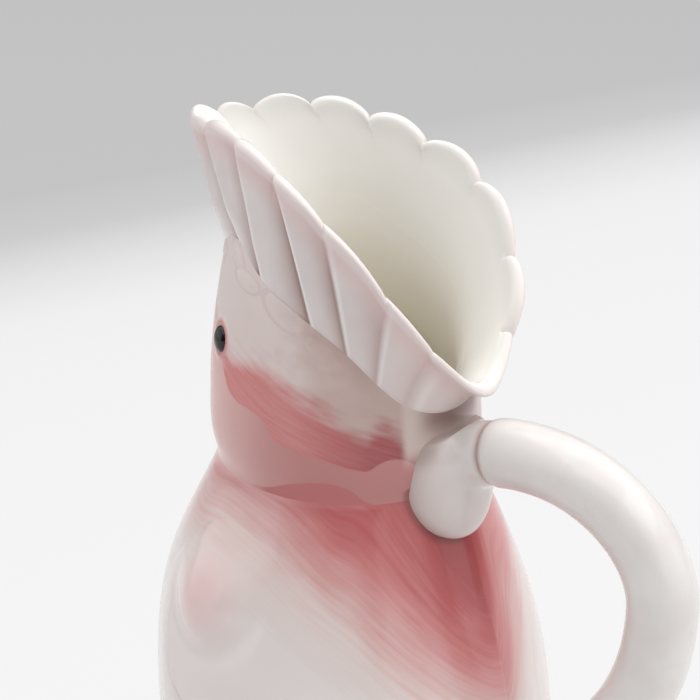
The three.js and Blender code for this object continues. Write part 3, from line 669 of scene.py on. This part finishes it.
def lip_point(angle):
    """A point of the lip: an egg that is pointed at the front and swells at the right of the back."""
    egg = np.sin(angle) * (1 - LIP_POINT * np.cos(angle))
    sweep = np.linspace(0, math.pi, 181)
    peak = (np.sin(sweep) * (1 - LIP_POINT * np.cos(sweep))).max()
    x, y = LIP_HALF_WIDTH * egg / peak, -LIP_HALF_LENGTH * np.cos(angle)
    swell = LIP_SWELL * np.exp(-(((signed(angle) - LIP_SWELL_AT) / LIP_SWELL_HALF) ** 4))
    wider = 1 + swell / np.hypot(x, y)
    return np.stack([x * wider, LIP_SHIFT + y * wider, crest_top(from_breast(angle))], -1)


def lip_outward(angle):
    """The level way out from the middle of the mouth to the lip."""
    return unit(lip_point(angle) * [1, 1, 0] - [0, LIP_SHIFT, 0])


def crest_inward(angle):
    """The way through the crest's wall, from its outer face to the bore."""
    lean = lip_point(angle) - foot_point(angle)
    outward = lip_outward(angle)
    reach = (lean * outward).sum(-1, keepdims=True)
    return unit(-outward * lean[..., 2:] + UP * reach)


def crest_face(angle, t):
    """The crest's smooth outer face, from its foot to the lip."""
    foot, lip = foot_point(angle), lip_point(angle)
    knee = foot + 0.42 * (lip - foot) + UP * CREST_HOLLOW
    return (1 - t) ** 2 * foot + 2 * t * (1 - t) * knee + t * t * lip


def bent(t, a, b, c, d):
    """A point of the smooth bend that leaves a toward b and comes to d from c."""
    return (1 - t) ** 3 * a + 3 * t * (1 - t) ** 2 * b + 3 * t * t * (1 - t) * c + t**3 * d


def throat(angle):
    """Height where the bore begins to open into the mouth, and how much it is drawn in there."""
    turn = from_breast(angle)
    inward = THROAT_IN + (THROAT_BACK_IN - THROAT_IN) * ease(115, 165, turn)
    return np.maximum(crest_foot(turn) - THROAT_DROP, NECK + THROAT_OVER_NECK), inward


def bore(angle, t):
    """The inside of the throat and mouth: upright at the bottom, leaning with the feathers at the lip."""
    z, inward = throat(angle)
    low, high = skin(angle, z, WALL + inward), lip_point(angle) + crest_inward(angle) * WALL
    reach = 0.42 * np.linalg.norm(high - low, axis=-1, keepdims=True)
    leaning = high - unit(lip_point(angle) - foot_point(angle)) * reach
    leaning = leaning + UP * (2 * ease(130, 170, from_breast(angle)))[:, None]
    return bent(np.asarray(t, float)[..., None], low, low + UP * reach, leaning, high)


def luted_at(angle):
    """Share of the bore at which the crest is luted to the head, level with the crest's foot."""
    shares = np.linspace(0, 1, 121)
    heights = np.stack([bore(angle, t)[:, 2] for t in shares], 1)
    return np.array([np.interp(z, h, shares) for z, h in zip(foot_point(angle)[:, 2], heights)])


def eye_reach(angle, z):
    """Distance from the eye's middle, 1 on the eye's own edge."""
    across = (from_breast(angle) - EYE_AT[0]) * np.radians(1) * half_width(z)
    return np.hypot(across / EYE_HALF[0], (z - EYE_AT[1]) / EYE_HALF[1])


def brow_reach(angle, z):
    """Distance from the nearest brow feather's middle, 1 on its edge."""
    reaches = []
    for at, height, slant, half_length, half_wide in BROWS:
        across, up = (from_breast(angle) - at) * np.radians(1) * half_width(z), z - height
        c, s = math.cos(math.radians(slant)), math.sin(math.radians(slant))
        reaches.append(np.hypot((across * c + up * s) / half_length, (up * c - across * s) / half_wide))
    return np.min(reaches, axis=0)


share = np.linspace(0, 0.96, 24)[:, None]
throat_z, throat_in = throat(around)
inner_z = NECK + (throat_z - NECK) * share
rising = np.linspace(0, 1, 26)[:, None] * luted_at(around)
neck_rows = skin(around, inner_z, WALL + throat_in * ease(0, 1, share))
inner = np.concatenate([neck_rows, np.stack([bore(around, t) for t in rising])])
outer_z = NECK + (foot_point(around)[:, 2] - NECK) * np.linspace(1, 0, 120)[:, None]
eye_far = eye_reach(around, outer_z)
raised = BROW_RISE * ease(1.15, 0.5, brow_reach(around, outer_z))
raised = raised + EYE_RIM_RISE * np.exp(-(((eye_far - 1.3) / 0.28) ** 2))
raised = raised - SOCKET_SUNK * ease(1.0, 0.7, eye_far)
outer = skin(around, outer_z) + skin_normal(around, outer_z) * raised[..., None]
all_z = np.concatenate([inner[..., 2], outer_z])
turn = from_breast(around)
head = woven(
    "head_shell",
    np.concatenate([inner, outer])[:, :-1],
    loop=True,
    fields={
        "lining": np.r_[np.ones(len(inner)), np.zeros(len(outer))][:, None],
        "deep": np.concatenate([1 + 0 * inner_z, 1 - rising, 0 * outer_z]),
        "cheek_low_mm": inside_edge(around, all_z, cheek_low, cheek_low),
        "cheek_high_mm": -inside_edge(around, all_z, cheek_high, cheek_high),
        "collar_mm": -inside_edge(around, all_z, collar, collar),
        "nape": ease(62, 120, turn),
        "to_nape": np.clip((turn - 60) / 90, 0, 1),
        "brow": brow_reach(around, all_z),
        "eye_far": eye_reach(around, all_z),
        "root_far": root_reach(around, all_z),
        # The bare strip of the nape above the handle's root: no pink there, and greyed with painted shade
        # under the spout
        "bare_strip_and_shade": ease(149, 153, turn) * ease(184, 193, all_z),
        # Painted shade under the crest's spout, above the handle's root
        "crook_shade": 0.85 * ease(154, 168, turn) * ease(192, 200, all_z),
    },
    stroke=brush_way(around, all_z, all_z),
)
STROKE_SLANT = -0.4
CROWN_WASH_AND_SHADE_DYE = [(0.1, "#E2D3D0"), (0.6, "#DECFCB"), (0.85, "#C5ACA6"), (1, "#BDA39C")]
THROAT_DYE = [(0, "#D8ABA7"), (0.5, "#C8928F"), (1, "#BD7F7D")]
CHEEK_DYE = [
    (0, "#CE6F6D"), (0.2, "#D17C7A"), (0.5, "#CD7F7D"),
    (0.7, "#B96364"), (0.85, "#A54E52"), (1, "#9C464B"),
]
# Painted shade, brown, in the crook under the crest's spout and on the upper side of the handle's roots
CROOK_SHADE_BROWN = "#83645D"
head_glaze, tree, shader = poured_glaze("pink_cheek_under_glaze", 0.15)
# Bristle marks 1.3 mm apart and 16 mm long, and loads of paint 7 mm wide, slanting to the nape
bristles = brush_marks(tree, 16, 1.3, 3.0, 0.62, STROKE_SLANT)
loads = brush_marks(tree, 15, 7, 2.0, 0.5, STROKE_SLANT)
fringe = carried(tree, "cheek_high_mm", [(bristles, 4.0), (loads, 9.0)])
# The crown darkens toward the nape: partly a browner wash of paint, partly painted shade under the crest's
# overhang, mottled by the loads
crown_wash_and_shade = carried(tree, "to_nape", [(loads, 0.3)])
crown, below, band = [
    dyed(add(tree, "ShaderNodeValToRGB", {"Fac": value}), stops)
    for value, stops in ((crown_wash_and_shade, CROWN_WASH_AND_SHADE_DYE), ("nape", THROAT_DYE), ("to_nape", CHEEK_DYE))
]
# Soft edges of paint, the last a pink rim round the eye: where each begins and where it is full
over, under, collar_in, shoulder, rim = [
    add(
        tree,
        "ShaderNodeMapRange",
        {"Value": value, "From Min": begins, "From Max": full},
        interpolation_type="SMOOTHSTEP",
    ).outputs["Result"]
    for value, begins, full in (
        ("cheek_low_mm", -0.3, 0.4),
        (fringe, 1.0, 10.5),
        ("collar_mm", -0.3, 0.5),
        ("nape", 0.2, 0.55),
        ("eye_far", 1.7, 1.3),
    )
]
thin = {"Value": bristles, "From Min": 0.3, "From Max": 0.7, "To Min": 0.86, "To Max": 1.0}
thin = add(tree, "ShaderNodeMapRange", thin).outputs["Result"]
# A hair line of pink round each brow feather
brow = add(tree, "ShaderNodeMath", {0: "brow", 1: 1.0, 2: 0.12}, operation="COMPARE").outputs[0]
under, collar_in, brow = [
    add(tree, "ShaderNodeMath", {0: mask, 1: share}, operation="MULTIPLY").outputs[0]
    for mask, share in ((under, thin), (collar_in, shoulder), (brow, 0.22))
]
upper = painted(tree, crown, [(under, band)])
coat = painted(tree, below, [(over, upper), (collar_in, "#BF6C6D"), ("bare_strip_and_shade", "#CBB9B2")])
coat = painted(tree, slip_line(tree, coat), [("crook_shade", CROOK_SHADE_BROWN), (brow, "#C9A6A3"), (rim, "#D08E8C")])
tree.links.new(lined(tree, coat), shader.inputs["Base Color"])
luted(head, "head_shell", head_glaze)

# Beak: a hooked upper beak and a small lower one, modelled by hand and luted to the face.
# Horn-grey glaze, paler at the root and darker to the tip.
UPPER_BEAK = {
    "z": 208, "half_wide": 9.5, "half_high": 11, "out": 10.5,
    "knee_drop": 2, "tip_drop": 18, "tip_in": 3, "tuck": 0.6,
}
LOWER_BEAK = {
    "z": 188.5, "half_wide": 6.5, "half_high": 4.5, "out": 7,
    "knee_drop": 0, "tip_drop": -2, "tip_in": 2, "tuck": 0,
}
BEAK_SUNK = np.array([0, 1.0, 0])
BEAK_ROWS = 44
BEAK_DYE = [(0.1, "#D9CFC8"), (0.55, "#BDB2AA"), (1, "#8C8079")]


def horn(name, z, half_wide, half_high, out, knee_drop, tip_drop, tip_in, tuck):
    """A beak: every line of its skin runs from its bed on the face round a knee to the one tip.
    Underneath, the knee is tucked back toward the face, so that the hook keeps its thickness."""
    turn = 2 * math.pi * np.arange(96) / 96
    across, up = np.cos(turn), np.sin(turn)
    root = skin(np.array(0.0), np.array(float(z)))
    wide = half_wide / np.hypot(root[0], root[1] - body_shift(z))
    tip = np.array([0, root[1] - out + tip_in, z - tip_drop])
    rows = [skin(wide * share * across, z + half_high * share * up) + BEAK_SUNK for share in (0.5, 1)]
    bed = rows[1]
    knee_out = out * (1 - tuck * np.clip(-up, 0, 1))
    knee = np.stack([0.8 * half_wide * across, root[1] - knee_out, z - knee_drop + 0.6 * half_high * up], -1)
    for t in 1 - (1 - np.linspace(0.03, 0.985, BEAK_ROWS)) ** 1.35:
        rows.append((1 - t) ** 2 * bed + 2 * t * (1 - t) * knee + t * t * tip)
    shade = np.r_[0, 0, np.linspace(0, 1, BEAK_ROWS)][:, None]
    return woven(name, rows, start=root + BEAK_SUNK, end=tip, fields={"to_tip": shade})


beak_glaze, tree, shader = poured_glaze("horn_grey_beak_glaze", 0.18)
# Clouded in patches 4 mm across
tipward = carried(tree, "to_tip", [(patches(tree, 4), 0.3)])
horn_colour = dyed(add(tree, "ShaderNodeValToRGB", {"Fac": tipward}), BEAK_DYE)
tree.links.new(horn_colour, shader.inputs["Base Color"])
for name, sizes in (("upper_beak", UPPER_BEAK), ("lower_beak", LOWER_BEAK)):
    luted(horn(name, **sizes), name, beak_glaze)

# Eyes: small oval beads of clay pressed into their sockets and glazed gloss black.
# The glaze is thick, so each bead shows one small window of light.
BEAD_RISE, BEAD_EDGE_RISE = 1.75, 0.05


def bead_relief(share, angle, z):
    """Height of an eye's round bead; share is 1 on its edge."""
    return BEAD_EDGE_RISE + BEAD_RISE * np.sqrt(np.clip(1 - share**2.4, 0, 1)) + 0 * angle


eye_glaze = pooled_glaze("black_bead_glaze", "#1C1817", "#0E0C0C", 0.06, 3)
turn = 2 * math.pi * np.arange(64) / 64
bead_shares = 1 - (1 - np.linspace(0.04, 1, 22)) ** 1.6
half_turn = EYE_HALF[0] / half_width(EYE_AT[1])
for side, name in ((1, "left_eye"), (-1, "right_eye")):
    middle = (side * math.radians(EYE_AT[0]), EYE_AT[1])
    edge = np.stack([middle[0] + half_turn * np.sin(turn), EYE_AT[1] + EYE_HALF[1] * np.cos(turn)], -1)
    luted(pad(name, middle, edge, bead_relief, bead_shares), name, eye_glaze)

# Crest: the raised feathers of the crown, cast as one fluted funnel that is the pouring mouth.
# Each feather overlaps the next with a crisp front edge; white lip and tips, a breath of pink and painted
# shade in the grooves, a painted highlight on each ridge, and a white lining darkened with depth by painted
# shade.
CREST_STEP = 0.3
CREST_TUCK, CREST_TUCK_IN = 1.5, 0.6
LIP_ROUND = 2.2
RIDGE_RISE = 1.5
FLUTE_DEPTH = 4.0
LEFT_SCALLOP, RIGHT_SCALLOP = 1.8, 3.6
LEFT_VALLEYS = [20, 45, 69, 91, 113, 137, 155]
RIGHT_VALLEYS = [17, 37, 60, 81, 100, 118, 139, 158.5]
valleys = np.array([-a for a in RIGHT_VALLEYS[::-1]] + LEFT_VALLEYS, float)
# The feathers sweep forward: where a valley at the lip comes down to the crest's foot, in degrees
SWEEP_LIP = np.array([0] + LEFT_VALLEYS + [180])
SWEEP_FOOT = np.array([0, 30, 61, 83, 112, 128, 140, 152, 180])


def feather_share(angle, t):
    """Where a place lies between two valleys, 0 in front to 1 behind, and which lip angle it leads to."""
    turn = signed(angle)
    knots = SWEEP_LIP * t + SWEEP_FOOT * (1 - t)
    lip = np.sign(turn) * np.interp(np.abs(turn), knots, SWEEP_LIP)
    marks = np.r_[valleys[-1] - 360, valleys, valleys[0] + 360]
    i = np.clip(np.searchsorted(marks, lip, side="right") - 1, 0, len(marks) - 2)
    u = (lip - marks[i]) / (marks[i + 1] - marks[i])
    return np.where(lip < 0, 1 - u, u), lip


def feather_sunk(share, side):
    """1 in a valley and 0 on the ridge; a side feather's ridge is close behind its front valley."""
    middle = (side < 18) | (side > 155)
    blade = ease(-0.02, 0.1, share) * (1 - np.clip((share - 0.1) / 0.9, 0, 1) ** 1.8)
    return 1 - np.where(middle, np.sin(math.pi * share) ** 0.65, blade)


whorl = -math.pi + 2 * math.pi * np.arange(721) / 720
outer_t, inner_t = np.linspace(0, 1, 72), np.linspace(1, 0, 40)
notch = np.where(whorl > 0, LEFT_SCALLOP, RIGHT_SCALLOP)
notch = notch * (1 - np.sin(math.pi * feather_share(whorl, 1.0)[0]) ** 0.6)
root_t = luted_at(whorl)
outward = lip_outward(whorl)
outside, groove, ridge, groove_line_shade = [], [], [], []
for t in outer_t:
    share, lip = feather_share(whorl, t)
    side = np.abs(lip)
    sunk = feather_sunk(share, side)
    cut = FLUTE_DEPTH * (1 - 0.67 * ease(70, 125, side)) * t**0.45 * (1 - 0.8 * t**4)
    proud = RIDGE_RISE * ease(85, 60, side) * (1 - sunk) * ease(0, 0.3, t) * (1 - t**4)
    out = CREST_STEP * ease(0, 0.05, t) * (1 - t) + proud - cut * sunk - 0.6 * notch * t**5
    outside.append(crest_face(whorl, t) + outward * out[:, None] - UP * (notch * t**8)[:, None])
    # Painted shade darkens each groove, a painted highlight runs along the ridge just behind its front
    # valley, and a darker line of painted shade runs down the groove's bottom
    groove.append(sunk)
    ridge.append(0.8 * np.exp(-(((share - 0.11) / 0.045) ** 2)))
    bottom = np.exp(-((np.minimum(share, 1 - share) / 0.04) ** 2))
    groove_line_shade.append(0.7 * bottom * ease(0.97, 0.85, t) * ease(125, 105, side))
# The foot is tucked into the head's wall and comes out of it with a small round step
outside.insert(0, skin(whorl, foot_point(whorl)[:, 2] - CREST_TUCK, CREST_TUCK_IN))
for rows in (groove, ridge, groove_line_shade):
    rows.insert(0, rows[0])
within = []
for t in inner_t:
    within.append(bore(whorl, root_t + (1 - root_t) * t) - (UP + outward * 0.3) * (notch * t**9)[:, None])
# A skirt of slip wiped down over the joint inside
within.append(bore(whorl, root_t * 0.97) - outward * 0.06)
middle = (outside[-1] + within[0]) / 2
along = unit(crest_face(whorl, 1.0) - crest_face(whorl, 0.9)) * LIP_ROUND
lip_turn = np.radians(np.arange(18, 180, 18))
rolled = [middle + (outside[-1] - middle) * math.cos(q) + along * math.sin(q) for q in lip_turn]
length = np.linalg.norm(lip_point(whorl) - foot_point(whorl), axis=-1)
rows_out, rows_lip, rows_in = len(outside), len(rolled), len(within)
plain = np.zeros((rows_lip + rows_in, len(whorl)))
crest = woven(
    "crest_mouth",
    np.array(outside + rolled + within)[:, :-1],
    loop=True,
    fields={
        "under_lip_mm": np.concatenate([np.r_[1, 1 - outer_t][:, None] * length, plain]),
        "groove": np.concatenate([groove, groove[-1:] * rows_lip, plain[:rows_in]]),
        "ridge": np.concatenate([ridge, plain]),
        "groove_line_shade": np.concatenate([groove_line_shade, plain]),
        "behind": 0.6 * ease(118, 160, from_breast(whorl)),
        "lining": np.r_[np.zeros(rows_out), np.linspace(0.1, 0.9, rows_lip), np.ones(rows_in)][:, None],
        "deep": np.concatenate(
            [np.zeros((rows_out + rows_lip, len(whorl))), (1 - root_t) * (1 - inner_t[:, None]), [1 - root_t]]
        ),
    },
)
crest_glaze, tree, shader = poured_glaze("white_crest_glaze_pink_grooves", 0.16)
# White, thin and thick in patches 12 mm across
runs = patches(tree, 12)
face = dyed(add(tree, "ShaderNodeValToRGB", {"Fac": runs}), [(0.3, "#DDD3D1"), (0.7, "#E6DEDC")])
# Painted shade in the grooves, pinkish, strongest in the valleys
pooled = "groove"
for operation, value in (("POWER", 1.7), ("MULTIPLY", 0.9)):
    pooled = add(tree, "ShaderNodeMath", {0: pooled, 1: value}, operation=operation).outputs[0]
# Pink from 13 mm under the lip, strongest near it, and white tips over that
tint, tips = [
    add(
        tree,
        "ShaderNodeMapRange",
        {"Value": value, "From Min": begins, "From Max": full, "To Max": strength},
        interpolation_type="SMOOTHSTEP",
    ).outputs["Result"]
    for value, begins, full, strength in (
        ("under_lip_mm", 13.0, 3.0, 0.55),
        (carried(tree, "under_lip_mm", [(runs, 3.0)]), 4.5, 2.0, 0.6),
    )
]
# Painted shade in the grooves, a painted highlight on each ridge and a line of painted shade in each groove's
# bottom
face = painted(tree, face, [(pooled, "#AE8D86"), ("ridge", "#F6F2F0"), ("groove_line_shade", "#957A72")])
# Pinkish grey toward the back: a little pink, and painted shade under the spout
face = painted(tree, face, [("behind", "#E0D0CC"), (tint, "#E4C3C1"), (tips, "#EBE1DE")])
tree.links.new(lined(tree, face), shader.inputs["Base Color"])
luted(crest, "crest_mouth", crest_glaze)

# Handle: a round strap of clay bent into an arch, stuck by two flared roots to the nape and belly.
# White glaze, greyed where it is thin; a tan line sits in the crease where strap and root meet, and painted
# shade browns the upper side of each root near the body.
HANDLE_RADIUS = 10.3
STRAP_SIDES = 96
NECKING = 1.3
KNUCKLE_ROUND = 4
KNUCKLE_OUT = 17
KNUCKLE_GAP = 0.05
LOWER_ROOT = (84, 14, 16)
ROOT_SUNK = np.array([0, 0.8, 0])
ROOT_ROWS = 44
STRAP_Z = 181.0
ARCH_TOP_OUT = 30
ARCH_TOP_Z = 192
ARCH_DROP = 34
FINGER_GAP = 38
# The shares that bend a quarter of a circle
QUARTER_NEAR, QUARTER_FAR = 0.5523, 0.4477
upper_root = skin(np.array(math.pi), np.array(STRAP_Z))
lower_root = skin(np.array(math.pi), np.array(float(LOWER_ROOT[0])))
upper_root[0] = lower_root[0] = 0
arch_top = np.array([0, upper_root[1] + ARCH_TOP_OUT, ARCH_TOP_Z])
arch_y = max(lower_root[1] + FINGER_GAP, arch_top[1]) + HANDLE_RADIUS
arch_out = np.array([0, arch_y, ARCH_TOP_Z - ARCH_DROP])


def between(a, b, y, z):
    """A point of the handle's plane by shares of the way from a to b."""
    return np.array([0, a[1] + (b[1] - a[1]) * y, a[2] + (b[2] - a[2]) * z])


line = []
for start, end, leaves, comes in (
    (upper_root, arch_top, (0.23, 0.75), (0.6, 1)),
    (arch_top, arch_out, (QUARTER_NEAR, 0), (1, QUARTER_FAR)),
    (arch_out, lower_root, (0, 0.4), (0.32, 0.74)),
):
    t = np.linspace(0, 1, 400)[:, None]
    line.append(bent(t, start, between(start, end, *leaves), between(start, end, *comes), end))
line = np.vstack(line)
run = np.r_[0, np.cumsum(np.linalg.norm(np.diff(line, axis=0), axis=1))]


def on_line(length):
    """A point of the handle's centre line, so many millimetres from the nape."""
    return np.stack([np.interp(length, run, line[:, k]) for k in range(3)], -1)


def line_way(length):
    """The way that the centre line runs there."""
    return unit(on_line(length + 0.5) - on_line(length - 0.5))


handle_glaze, tree, shader = poured_glaze("white_handle_glaze", 0.14)
# White, thin and thick in patches 16 mm across
thin = add(tree, "ShaderNodeValToRGB", {"Fac": patches(tree, 16)})
white = dyed(thin, [(0.3, "#E3DDDA"), (0.7, "#EAE6E3")])
seam = {"Value": "from_end_mm", "From Min": 2.2, "From Max": 0.3}
seam = add(tree, "ShaderNodeMapRange", seam, interpolation_type="SMOOTHSTEP").outputs["Result"]
# The crook colour is painted shade on the roots' upper side
white = painted(tree, white, [("rooted", "#CDB9B4"), ("crook_shade", CROOK_SHADE_BROWN), (seam, "#C7B0AA")])
tree.links.new(white, shader.inputs["Base Color"])

knuckle = KNUCKLE_OUT + np.linspace(0, 1, 12) ** 2 * KNUCKLE_ROUND
middle = np.linspace(knuckle[-1], run[-1] - knuckle[-1], 130)[1:-1]
strap = np.r_[knuckle, middle, run[-1] - knuckle[::-1]]
# The strap is drawn in round at both ends, down to the crease where it meets its roots
from_end = np.minimum(strap - strap[0], strap[-1] - strap)
near = 1 - np.clip(from_end / KNUCKLE_ROUND, 0, 1)
thick = 1 - NECKING / HANDLE_RADIUS * (1 - np.sqrt(1 - near**2))
sideways = np.tile([1, 0, 0], (len(strap), 1))
arch = drawn(
    "handle_arch", [on_line(strap)], [sideways], [thick],
    HANDLE_RADIUS, 1.0, STRAP_SIDES, handle_glaze, {"from_end_mm": [from_end]},
)
luted(arch, "handle_arch", handle_glaze)


def flared_root(name, z, half_wide, half_high, knuckle, inward, square_top, lean):
    """A root of the handle, from its bed on the skin out to the knuckle where the strap begins."""
    turn = 2 * math.pi * np.arange(112) / 112
    spin = turn if inward < 0 else -turn
    across, up = np.cos(math.pi - turn), np.sin(math.pi - turn)
    wide = half_wide / (half_width(z) + BODY_DEEPER)
    face = knuckle + inward * KNUCKLE_GAP
    side = np.sign(across) * np.abs(across) ** np.where(up > 0, square_top, 1)
    side = side + np.clip(-up, 0, 1) * (lean - ROOT_TAPER * side)

    def ring(length, radius):
        way = line_way(length)
        over = np.array([0, -way[2], way[1]])
        return on_line(length) + radius * (np.cos(spin)[:, None] * [1, 0, 0] + np.sin(spin)[:, None] * over)

    rows = [skin(math.pi + wide * share * side, z + half_high * share * up) - ROOT_SUNK for share in (0.5, 1)]
    bed, neck = rows[1], ring(face + inward * KNUCKLE_ROUND, HANDLE_RADIUS - NECKING / 2)
    reach = np.linalg.norm(neck - bed, axis=-1, keepdims=True)
    butt, knee = bed + 0.55 * reach * [0, 1, 0], neck + 0.35 * reach * line_way(face) * inward
    for t in np.linspace(0.02, 1, ROOT_ROWS):
        rows.append(bent(t, bed, butt, knee, neck))
    for q in np.radians([22, 45, 68, 90]):
        at = face + inward * KNUCKLE_ROUND * (1 - math.sin(q))
        rows.append(ring(at, HANDLE_RADIUS - NECKING / 2 * (2 - math.cos(q))))
    # Millimetres from the crease, which only its last rows come near
    from_end = np.r_[np.full(ROOT_ROWS + 2, 9.0), 2.4, 1.6, 0.8, 0][:, None]
    rooted = np.r_[1, 1, np.linspace(1, 0, ROOT_ROWS), 0, 0, 0, 0][:, None]
    # Painted shade browns the upper side of each root near the body, in the crook under the crest
    fields = {
        "from_end_mm": from_end,
        "rooted": 0.75 * rooted,
        "crook_shade": 0.4 * ease(0.3, 1, rooted) * ease(0.3, 0.9, up),
    }
    middle = skin(np.array(math.pi), np.array(float(z))) - ROOT_SUNK
    return woven(name, rows, start=middle, end=on_line(face), fields=fields)


for name, root, knuckle, inward, square_top, lean in (
    ("handle_upper_stub", UPPER_ROOT, KNUCKLE_OUT, -1, 0.3, UPPER_LEAN),
    ("handle_lower_stub", LOWER_ROOT, run[-1] - KNUCKLE_OUT, 1, 1, 0),
):
    luted(flared_root(name, *root, knuckle, inward, square_top, lean), name, handle_glaze)

# Studio: a pale table that fades to grey at the far side, in a tent of four soft lights: above,
# beyond the jug, and to the camera's left and right. Sizes are metres.
TABLE_RADIUS = 4
TABLE_SIDES = 96
# The way, and how fast, the table fades from white to grey, and where that begins and ends
FADE_WAY = (-0.4217, -1.084, 0)
FADE_FROM, FADE_TO = 0.2, 0.9
TABLE_SEEN = 0.93
TABLE_DYE = [
    (0, "#F5F5F5"), (0.51, "#F2F2F2"), (0.61, "#EFEFEF"), (0.7, "#E3E3E3"),
    (0.76, "#D7D7D7"), (0.81, "#CACACA"), (0.93, "#C1C1C1"),
]
table = bpy.data.meshes.new("pale_table")
turn = 2 * math.pi * np.arange(TABLE_SIDES) / TABLE_SIDES
rim = [(TABLE_RADIUS * math.cos(a), TABLE_RADIUS * math.sin(a), 0) for a in turn]
table.from_pydata(rim, [], [list(range(TABLE_SIDES))])
table = bpy.data.objects.new("pale_table", table)
bpy.context.scene.collection.objects.link(table)
surface = bpy.data.materials.new("matt_white_table")
surface.use_nodes = True
tree = surface.node_tree
tree.nodes.clear()
place = add(tree, "ShaderNodeTexCoord").outputs["Object"]
far = add(tree, "ShaderNodeVectorMath", {0: place, 1: FADE_WAY}, operation="DOT_PRODUCT").outputs["Value"]
far = {"Value": far, "From Min": FADE_FROM, "From Max": FADE_TO}
far = add(tree, "ShaderNodeMapRange", far).outputs["Result"]
seen = dyed(add(tree, "ShaderNodeValToRGB", {"Fac": far}), TABLE_DYE)
# Seen straight or in a gloss, the table mostly glows in its written colour; the rest is matt and
# keeps the jug's shadow
path = add(tree, "ShaderNodeLightPath").outputs
mirror = path["Is Camera Ray"]
for operation, value in (
    ("MAXIMUM", path["Is Glossy Ray"]),
    ("MAXIMUM", path["Is Transmission Ray"]),
    ("MULTIPLY", TABLE_SEEN),
):
    mirror = add(tree, "ShaderNodeMath", {0: mirror, 1: value}, operation=operation).outputs[0]
matt = add(tree, "ShaderNodeBsdfDiffuse", {"Color": hexed("#EDEDED")}).outputs[0]
glow = add(tree, "ShaderNodeEmission", {"Color": seen, "Strength": 1.0}).outputs[0]
both = add(tree, "ShaderNodeMixShader", {0: mirror, 1: matt, 2: glow}).outputs[0]
add(tree, "ShaderNodeOutputMaterial", {"Surface": both})
table.data.materials.append(surface)

# The room is darker behind the camera
ROOM_WAY = (0.7, 0.55, -0.2)
ROOM_DYE = [(0, "#717172"), (0.6, "#646465"), (1, "#525253")]
room = bpy.data.worlds.new("room")
bpy.context.scene.world = room
room.use_nodes = True
tree = room.node_tree
tree.nodes.clear()
way = add(tree, "ShaderNodeTexCoord").outputs["Generated"]
front = add(tree, "ShaderNodeVectorMath", {0: way, 1: ROOM_WAY}, operation="DOT_PRODUCT").outputs["Value"]
front = add(tree, "ShaderNodeMapRange", {"Value": front, "From Min": -0.8, "From Max": 0.9}).outputs["Result"]
air = dyed(add(tree, "ShaderNodeValToRGB", {"Fac": front}), ROOM_DYE)
air = painted(tree, air, [(add(tree, "ShaderNodeLightPath").outputs["Is Camera Ray"], "#E6E6E6")])
sky = add(tree, "ShaderNodeBackground", {"Color": air, "Strength": 1.0}).outputs[0]
add(tree, "ShaderNodeOutputWorld", {"Surface": sky})

# Each softbox: its place, what it points at, its side and its watts
for name, place, aim, wide, power in (
    ("overhead_softbox", (-0.15, 0.25, 1.35), (0, 0, 0.2), 1.8, 15.5),
    ("far_softbox", (-0.6, -0.3, 1.2), (0, 0, 0.2), 1.5, 5),
    ("left_softbox", (0.6, -0.9, 0.9), (0, 0, 0.15), 2, 10.9),
    ("right_softbox", (-0.1, 1.2, 0.8), (0, 0, 0.15), 2, 11.2),
):
    lamp = bpy.data.lights.new(name, "AREA")
    lamp.shape, lamp.size, lamp.energy = "SQUARE", wide, power
    held = bpy.data.objects.new(name, lamp)
    held.location = place
    held.rotation_euler = (Vector(aim) - Vector(place)).to_track_quat("-Z", "Y").to_euler()
    bpy.context.scene.collection.objects.link(held)

# Camera: a long lens from behind the bird's left shoulder, a little above it
CAMERA_AT = Vector((0.503887, 0.393424, 0.484603))
CAMERA_AIM = Vector((-0.394487, -0.30927, -0.008278))
lens = bpy.data.cameras.new("camera")
lens.lens, lens.sensor_width = 118.93, 36
camera = bpy.data.objects.new("camera", lens)
camera.location = CAMERA_AT
camera.rotation_euler = (CAMERA_AIM - CAMERA_AT).to_track_quat("-Z", "Y").to_euler()
bpy.context.scene.collection.objects.link(camera)
bpy.context.scene.camera = camera
bpy.context.scene.view_settings.view_transform = "Standard"
